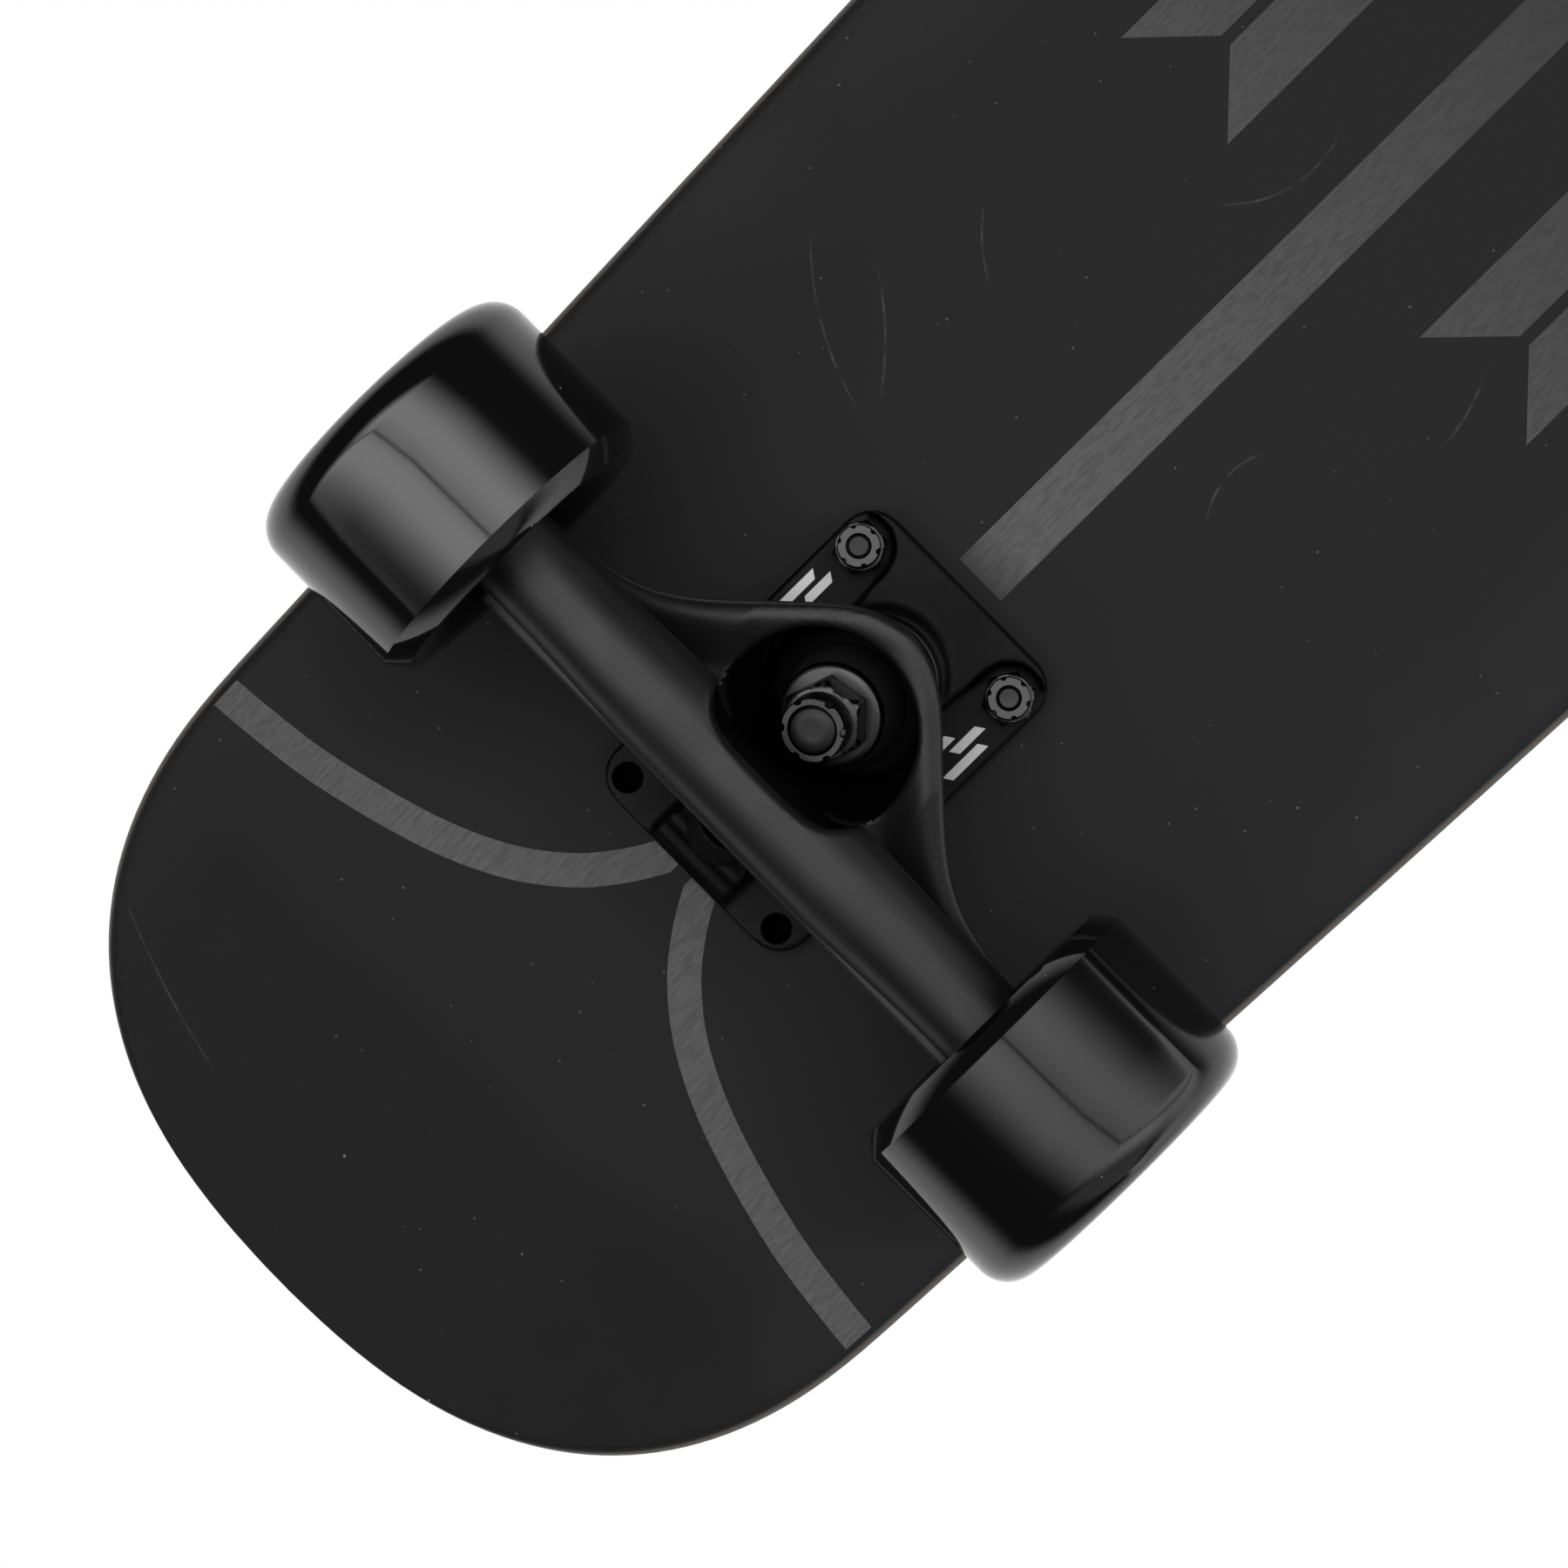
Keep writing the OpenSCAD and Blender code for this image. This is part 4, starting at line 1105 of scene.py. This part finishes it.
roadSeat = pinStack["washer"] + pinStack["boardBushing"] + pinStack["web"]
roadWasher = roadSeat + pinStack["roadBushing"]
nutSeat = roadWasher + pinStack["washer"]


def hexRadius(angle, flats):
    turnShare = (angle + math.pi / 6) % (math.pi / 3) - math.pi / 6
    return flats / 2 / math.cos(turnShare)


def lockNut(size, steps=144):
    # hexagon with turned chamfers, a groove, and a crimped collar with shallow notches
    half, corner = size["flats"] / 2, size["flats"] / math.sqrt(3)
    collar, notch, crown = size["collar"], size["notch"], size["crown"]
    top = size["height"]
    hexTop = top * size["hexShare"]

    def hexRow(z, cap):
        return circleRow(lambda a: min(hexRadius(a, size["flats"]), cap), z, steps)

    def crimpRow(z, base, depth):
        def radius(a):
            share = abs((a * size["notches"] / (2 * math.pi)) % 1.0 - 0.5) * 2
            return base - depth * max(0.0, min(1.0, (share - 0.72) * 10))
        return circleRow(radius, z, steps)

    rows = [circleRow(size["bore"], 0, steps), hexRow(0, half * 0.97), hexRow(0.25, half * 1.03),
            hexRow(0.9, corner), hexRow(hexTop - 0.9, corner), hexRow(hexTop - 0.3, half * 1.04),
            hexRow(hexTop, half * 0.97),
            circleRow(collar + 0.1, hexTop + 0.05, steps)]
    rows += [crimpRow(hexTop + 0.5, collar, 0.0), crimpRow(top - 1.3, collar, notch * 0.2),
             crimpRow(top - 0.5, collar - 0.05, notch), crimpRow(top - 0.15, collar - 0.1, notch),
             crimpRow(top, collar - 0.28, notch * 0.8)]
    rows += [circleRow(r, z, steps) for r, z in
             ((crown + 0.12, top), (crown, top - 0.15), (size["bore"], top - 0.9))]
    return ringSkin(rows, loop=True)


def threadRows(radius, depth, pitch, low, high, start, steps):
    # four rows to a turn, and the crest moves on by a quarter from row to row
    rows, z = [], low
    while z < high:
        rows.append(circleRow(lambda a: radius - depth * abs(
            2 * (((z - start) / pitch - a / (2 * math.pi)) % 1.0) - 1), z, steps))
        z += pitch / 4
    return rows


def threadedRod(radius, pitch, low, high, threadFrom, steps=36, depth=0.055):
    # the crest winds up the rod, and its end is bevelled
    rings = [circleRow(radius, low, steps)]
    rings += threadRows(radius, radius * 2 * depth, pitch, threadFrom, high - 0.6, threadFrom, steps)
    rings += [circleRow(radius - inset, high - drop, steps)
              for inset, drop in ((0.12, 0.75), (0.45, 0.2), (0.75, 0))]
    rings.append([(p[0] * 0.5, p[1] * 0.5, high - 0.06) for p in rings[-1]])
    return ringSkin(rings, poles=[(0, 0, low), (0, 0, high - 0.1)])


def boltShape(steps=72):
    # head with a hexagonal socket, flush with the grip tape, and a threaded end
    head, end = -(deck["thickness"] + deck["grip"]), hardware["boltEnd"]
    r = hardware["boltDiameter"] / 2
    rings = [circleRow(lambda a: hexRadius(a, flats), head + z, steps)
             for z, flats in ((1.7, 3.1), (0.15, 3.15), (0, 3.5))]
    rings += [circleRow(reach, head + z, steps)
              for z, reach in ((0, 4.3), (0.25, 4.55), (0.5, 4.4), (2.8, r))]
    rings += threadRows(r, 0.24, hardware["boltPitch"], head + 3.0, end - 0.5, 0.0, steps)
    rings += [circleRow(reach, end - z, steps) for z, reach in ((0.35, r - 0.3), (0, r - 0.62), (0.08, 0.9))]
    return ringSkin(rings, poles=[(0, 0, head + 2.0), (0, 0, end - 0.1)])


def cornerPieces(name, shape, finish, angle=35):
    piece = linkPiece(name, meshFrom(name, *shape, angle=angle))
    return growWith(piece, repeatTree, Length=layout["boltLong"], Width=layout["boltWide"], Columns=2,
                    Finish=finish)


def buildHardware(endName, end):
    nuts = cornerPieces(endName + "DeckNuts", lockNut(hardware["boltNut"]), looks["nut"])
    finishPiece(nuts, truckPlace(end) @ move(0, 0, plate["pad"]), "board", "dark_steel",
                endName + "_mounting_nuts")
    bolts = cornerPieces(endName + "DeckBolts", boltShape(), looks["pin"], angle=50)
    finishPiece(bolts, truckPlace(end), "board", "dark_steel", endName + "_mounting_bolts")
    makePiece(endName + "PinNut", lockNut(hardware["pinNut"]), looks["nut"],
              kingpinPlace(end) @ move(0, 0, nutSeat) @ turn(hardware["pinNutTurn"], "Z"), "board",
              "dark_steel", endName + "_kingpin_nut")
    pin = threadedRod(layout["kingpinDiameter"] / 2, hardware["pinPitch"], -2.0, hardware["pinTop"], 30.0,
                      steps=72)
    head = spindle(hardware["pinHead"], 72)
    makePiece(endName + "Kingpin", joinShapes([pin, head]), looks["pin"], kingpinPlace(end), "board",
              "dark_steel", endName + "_kingpin", angle=50)


for endName, end in ends.items():
    buildHardware(endName, end)
print("nuts, bolts and kingpins made")

# bushings, washers and pivot cups


def buildBushings(endName, end):
    place = kingpinPlace(end)
    bore, r, thick = layout["kingpinDiameter"] / 2, pinStack["bushingRadius"], pinStack["washer"]
    low, high = thick, thick + pinStack["boardBushing"]
    barrel = [(bore, low + 0.4), (bore + 0.4, low), (r - 1.6, low)]
    barrel += [(r - 1.2 + 1.2 * math.sin(math.pi * t / 10), low + 0.4 + (high - low - 0.8) * t / 10)
               for t in range(11)]
    barrel += [(r - 1.6, high), (bore + 0.4, high), (bore, high - 0.4)]
    low, high = roadSeat, roadWasher
    cone = [(bore, low + 0.4), (bore + 0.4, low), (r - 0.9, low), (r - 0.45, low + 0.5)]
    cone += [(r - 0.4 - 2.2 * (t / 8) ** 1.5, low + 0.6 + (high - low - 1.2) * t / 8) for t in range(9)]
    cone += [(r - 3.0, high), (bore + 0.4, high), (bore, high - 0.4)]
    dish = [(bore, 0.0), (r + 0.5, 0.0), (r + 0.8, 0.3), (r + 0.8, thick + 1.4), (r + 0.6, thick + 1.6),
            (r + 0.1, thick + 1.6), (r, thick + 1.4), (r, thick + 0.1), (r - 0.3, thick), (bore, thick)]
    rim = r - 1.8
    cup = [(bore, 0.0), (rim - 1.0, 0.0), (rim - 0.8, -0.2), (rim - 0.8, -0.8), (rim - 0.6, -1.0),
           (rim - 0.15, -1.0), (rim, -0.8), (rim, 0.7), (rim - 0.15, 1.15), (rim - 0.55,
           thick - 0.1), (rim - 1.3, thick),
           (bore + 0.3, thick), (bore, thick - 0.3)]
    for label, loop, look, spot, slotName, node in (
            ("BoardBushing", barrel, "rubber", place, "bushing_rubber", "_boardside_bushing"),
            ("RoadBushing", cone, "rubber", place, "bushing_rubber", "_roadside_bushing"),
            ("BoardWasher", dish, "pin", place, "dark_steel", "_boardside_washer"),
            ("RoadWasher", cup, "nut", place @ move(0, 0, roadWasher), "dark_steel", "_roadside_washer")):
        makePiece(endName + label, lathe(loop), looks[look], spot, "board", slotName, endName + node)
    outer, inner = pivotCup["outer"], pivotCup["inner"]
    inside = [(inner * math.sin(math.radians(a)), -inner * math.cos(math.radians(a)))
              for a in range(90, 0, -6)]
    shell = [(0.0, -outer), (outer * 0.5, -outer * 0.87), (outer * 0.87, -outer * 0.5), (outer, 0.0),
             (outer, 3.7), (outer - 0.3, 4.0), (outer - 0.8, 4.0), (5.6, 1.0)] + inside + [(0.0, -inner)]
    makePiece(endName + "PivotCup", lathe(shell, 64), looks["cup"], pivotPlace(end), "board", "cup_plastic",
              endName + "_pivot_cup")


for endName, end in ends.items():
    buildBushings(endName, end)
print("bushings, washers and pivot cups made")

# wheels and bearings

wheel = {
    "radius": 32.2, "inner": 60.8, "outer": 100.4, "lip": 7.0, "bevel": 3.0, "bevelWidth": 3.8,
    "hubIn": 67.7, "bearingWidth": 7.0, "spacer": 10.0, "speedRing": 1.0, "steps": 160,
    "balls": 7, "ballCircle": 7.5, "ballRadius": 1.985,
}
bearingSeats = (wheel["hubIn"], wheel["hubIn"] + wheel["bearingWidth"] + wheel["spacer"])


def wheelProfile():
    r, lip, low, high = wheel["radius"], wheel["lip"], wheel["inner"], wheel["outer"]
    hubIn, hubOut = bearingSeats[0], bearingSeats[1] + wheel["bearingWidth"]
    flat = low + wheel["bevelWidth"]
    points = [(r - wheel["bevel"] - 0.25, low), (r - wheel["bevel"], low + 0.12), (r - 0.25, flat - 0.25)]
    points += [(r, flat + t) for t in (0.15, 3.0, 12.0, 20.0)]
    points += [(r - lip * (1 - math.cos(math.radians(a))), high - lip * (1 - math.sin(math.radians(a))))
               for a in range(0, 91, 6)]
    points += [(22.5, high - 0.1), (20.0, high - 0.6), (18.4, high - 1.6)]
    points += [(reach, hubOut + z) for reach, z in ((14.2, 2.6), (12.8, 1.6), (12.0, 1.35), (11.35, 1.25),
                                                    (11.0, 0.9), (11.0, -7.0), (8.6, -7.0))]
    points += [(reach, hubIn + z) for reach, z in ((8.6, 7.0), (11.0, 7.0), (11.0, -0.3), (11.4, -0.65),
                                                   (13.0, -1.0), (14.6, -1.7))]
    return points + [(20.0, low + 2.2), (23.0, low + 0.9), (26.0, low + 0.15)]


def bearingRings(offset):
    low, high = offset, offset + wheel["bearingWidth"]
    outer = roundedLoop([(9.3, low + 0.1), (10.8, low), (11.0, low + 0.3), (11.0, high - 0.3), (10.8, high),
                         (9.3, high - 0.1)], 0.12, 2)
    inner = roundedLoop([(4.0, low + 0.3), (4.3, low), (6.05, low), (6.05, high), (4.3, high),
                         (4.0, high - 0.3)], 0.15, 2)
    return outer, inner


def ballShape(radius, rows=10, steps=20):
    rings = [circleRow(radius * math.sin(math.pi * i / rows), -radius * math.cos(math.pi * i / rows), steps)
             for i in range(1, rows)]
    return ringSkin(rings, poles=[(0, 0, -radius), (0, 0, radius)])


def buildWheel(endName, end, sideName, side):
    place = wheelPlace(end, side)
    stem, label = endName + "_" + sideName, endName + sideName.capitalize()
    body, width = stem + "_wheel_body", wheel["bearingWidth"]
    makePiece(label + "Wheel", lathe(wheelProfile(), wheel["steps"]), looks["wheel"], place, body,
              "wheel_urethane", stem + "_wheel", angle=30)
    makePiece(label + "OuterRaces", joinShapes([lathe(bearingRings(s)[0], 72) for s in bearingSeats]),
              looks["steel"], place, body, "bright_steel", stem + "_outer_races")
    shields = []
    for s in bearingSeats:
        for low, out in ((s + 0.45, -1), (s + width - 0.85, 1)):
            mid = low + 0.2 - out * 0.12
            shields.append(lathe([(6.4, low), (7.2, mid - 0.2), (8.6, mid - 0.2), (9.25, low),
                                  (9.25, low + 0.4), (8.6, mid + 0.2), (7.2, mid + 0.2), (6.4, low + 0.4)], 72))
    makePiece(label + "Shields", joinShapes(shields), looks["shield"], place, body, "shield_black",
              stem + "_shields")
    balls = joinShapes([placed(ballShape(wheel["ballRadius"]), move(0, 0, s + width / 2))
                        for s in bearingSeats])
    piece = linkPiece(label + "Balls", meshFrom("balls", *balls))
    growWith(piece, ringTree, Radius=wheel["ballCircle"], Count=wheel["balls"], Finish=looks["steel"])
    finishPiece(piece, place, stem + "_ball_body", "bright_steel", stem + "_balls")
    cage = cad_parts[stem + "_retainers"].data.materials
    cage.clear()
    cage.append(looks["cage"])
    makePiece(label + "AxleNut", lockNut(hardware["axleNut"]), looks["nut"],
              place @ move(0, 0, bearingSeats[1] + width + wheel["speedRing"]), endName + "_hanger_body",
              "dark_steel", stem + "_axle_nut")


def buildAxleParts(endName, end):
    body, width, bore = endName + "_hanger_body", wheel["bearingWidth"], 4.0
    inners = [lathe(bearingRings(s)[1], 72) for s in bearingSeats]
    thick = wheel["speedRing"]
    rings = [lathe(roundedLoop([(bore, z), (5.7, z), (5.7, z + thick), (bore, z + thick)], 0.2, 2), 64)
             for z in (bearingSeats[0] - thick, bearingSeats[1] + width)]
    low, high = bearingSeats[0] + width, bearingSeats[1]
    spacers = [lathe([(bore, low), (5.2, low), (5.2, high), (bore, high)], 64)]
    rod = threadedRod(layout["axleDiameter"] / 2, hardware["axlePitch"], 0.0, layout["axleLength"] / 2, 90.0,
                      steps=60, depth=0.045)
    both = [wheelPlace(end, side) for side in sides.values()]
    for label, shapes, look, node, angle in (
            ("InnerRaces", inners, "steel", "_inner_races", 35),
            ("SpeedRings", rings, "steel", "_speed_rings", 35),
            ("Spacers", spacers, "steel", "_bearing_spacers", 35), ("Axle", [rod], "pin", "_axle", 50)):
        parts = joinShapes([placed(part, place) for place in both for part in shapes])
        makePiece(endName + label, parts, looks[look], Matrix.Identity(4), body, "bright_steel",
                  endName + node, angle=angle)


for endName, end in ends.items():
    buildAxleParts(endName, end)
    for sideName, side in sides.items():
        buildWheel(endName, end, sideName, side)
print("wheels, bearings and axles made")

# light marks on the baseplates: start, end and distance from the middle line

marks = {"height": 0.12, "half": 0.9, "slant": 1.2,
         "bars": [(7.0, 16.5, 23.4), (11.5, 18.5, 20.6), (3.0, 13.0, 17.8)]}


def buildMarks(endName, end):
    low, high, slant = plate["pad"] - 0.3, plate["pad"] + marks["height"], marks["slant"]
    half = marks["half"]
    parts = []
    for u0, u1, v in marks["bars"]:
        for mirror in (-1, 1):
            near, far = (v - half) * mirror, (v + half) * mirror
            outline = [(u0, near), (u1, near), (u1 + slant, far), (u0 + slant, far)]
            parts.append(prism(outline, low, high))
    makePiece(endName + "PlateMarks", joinShapes(parts), looks["marks"], truckPlace(end), "board",
              "truck_paint")


for endName, end in ends.items():
    buildMarks(endName, end)

# floor, lights and camera

studio = {
    "lens": 135.4, "cameraAt": (-185.0, 44.0, -1064.8), "aim": (-220.9, 1.47, 85.2), "roll": 44.6,
    "floorTone": 0.83, "floorReach": 6.0, "skyStrength": 1.0, "underStrength": 0.035,
    "stripCentre": 7.8, "stripLean": 1.3, "stripFull": 20.0, "stripEnd": 61.0, "stripBright": 4.2,
    "stripDim": 1.75, "gapAt": 3.0, "fill": 0.5,
}


def mixShaders(tree, share, first, second, socket):
    mixer = put(tree, "ShaderNodeMixShader", None, i0=share, i1=first, i2=second)
    tree.links.new(mixer.outputs[0], socket)


def buildFloor():
    size = studio["floorReach"]
    mesh = bpy.data.meshes.new("floor")
    corners = [(-size, -size, 0), (size, -size, 0), (size, size, 0), (-size, size, 0)]
    mesh.from_pydata(corners, [], [(0, 1, 2, 3)])
    material, tree, shader, _ = newMaterial("floorPaint", Base_Color=grey(studio["floorTone"]), Roughness=0.8)
    # seen from above only
    clear = tree.nodes.new("ShaderNodeBsdfTransparent").outputs[0]
    back = tree.nodes.new("ShaderNodeNewGeometry").outputs["Backfacing"]
    mixShaders(tree, back, shader.outputs[0], clear, tree.nodes["Material Output"].inputs["Surface"])
    floor = linkPiece("floor", mesh, material)
    floor.visible_shadow = False
    floor.visible_diffuse = False
    floor.visible_glossy = False
    floor.visible_transmission = False


def buildWorld():
    # a wide graded strip of light over the underside with a narrow gap in it, and a white table all round
    world = bpy.data.worlds.new("studioWorld")
    world.use_nodes = True
    scene.world = world
    tree = world.node_tree
    tree.nodes.clear()
    direction = tree.nodes.new("ShaderNodeTexCoord").outputs["Generated"]
    parts = put(tree, "ShaderNodeSeparateXYZ", None, Vector=direction).outputs
    below = times(tree, parts["Z"], -1.0)
    along, side = (calc(tree, "DEGREES", calc(tree, "ARCTAN2", parts[axis], below)) for axis in ("X", "Y"))
    strip = minus(tree, minus(tree, along, studio["stripCentre"]), times(tree, side, studio["stripLean"]))
    offset = sizeOf(tree, strip)
    gap = sizeOf(tree, total(tree, strip, studio["gapAt"]))
    main = times(tree, ramp(tree, offset, studio["stripFull"], studio["stripEnd"], 1.0, 0.0),
                 ramp(tree, side, -7.0, 3.0, studio["stripBright"], studio["stripDim"]),
                 ramp(tree, side, -42.0, -16.0, 0.0, 1.0),
                 ramp(tree, offset, 0.0, 16.0, 0.74, 1.0),
                 ramp(tree, gap, 0.5, 2.0, 0.15, 1.0))
    fill = times(tree, ramp(tree, side, 5.0, 30.0, 0.0, studio["fill"]),
                 ramp(tree, sizeOf(tree, along), 30.0, 60.0, 1.0, 0.0))
    lower = total(tree, main, fill, studio["underStrength"])
    strength = blendValue(tree, lower, studio["skyStrength"], ramp(tree, parts["Z"], 0.0, 0.42, 0.0, 1.0))
    room = put(tree, "ShaderNodeBackground", None, Color=grey(1.0), Strength=strength).outputs[0]
    page = put(tree, "ShaderNodeBackground", None, Color=grey(1.0), Strength=1.0).outputs[0]
    seen = tree.nodes.new("ShaderNodeLightPath").outputs["Is Camera Ray"]
    mixShaders(tree, seen, room, page, tree.nodes.new("ShaderNodeOutputWorld").inputs["Surface"])


def cameraAxes():
    at, aim = Vector(studio["cameraAt"]) * mm, Vector(studio["aim"]) * mm
    back = (at - aim).normalized()
    a = math.radians(studio["roll"])
    across = Vector((math.cos(a), math.sin(a), 0))
    across = (across - back * across.dot(back)).normalized()
    return at, across, back.cross(across), back


def buildCamera():
    at, across, up, back = cameraAxes()
    data = bpy.data.cameras.new("viewCamera")
    data.sensor_width = 36.0
    data.lens = studio["lens"]
    data.clip_start = 0.05
    data.clip_end = 20.0
    camera = bpy.data.objects.new("viewCamera", data)
    scene.collection.objects.link(camera)
    camera.matrix_world = Matrix.Translation(at) @ Matrix((across, up, back)).transposed().to_4x4()
    scene.camera = camera


buildFloor()
buildWorld()
buildCamera()
scene.view_settings.view_transform = "Standard"
print("studio made")

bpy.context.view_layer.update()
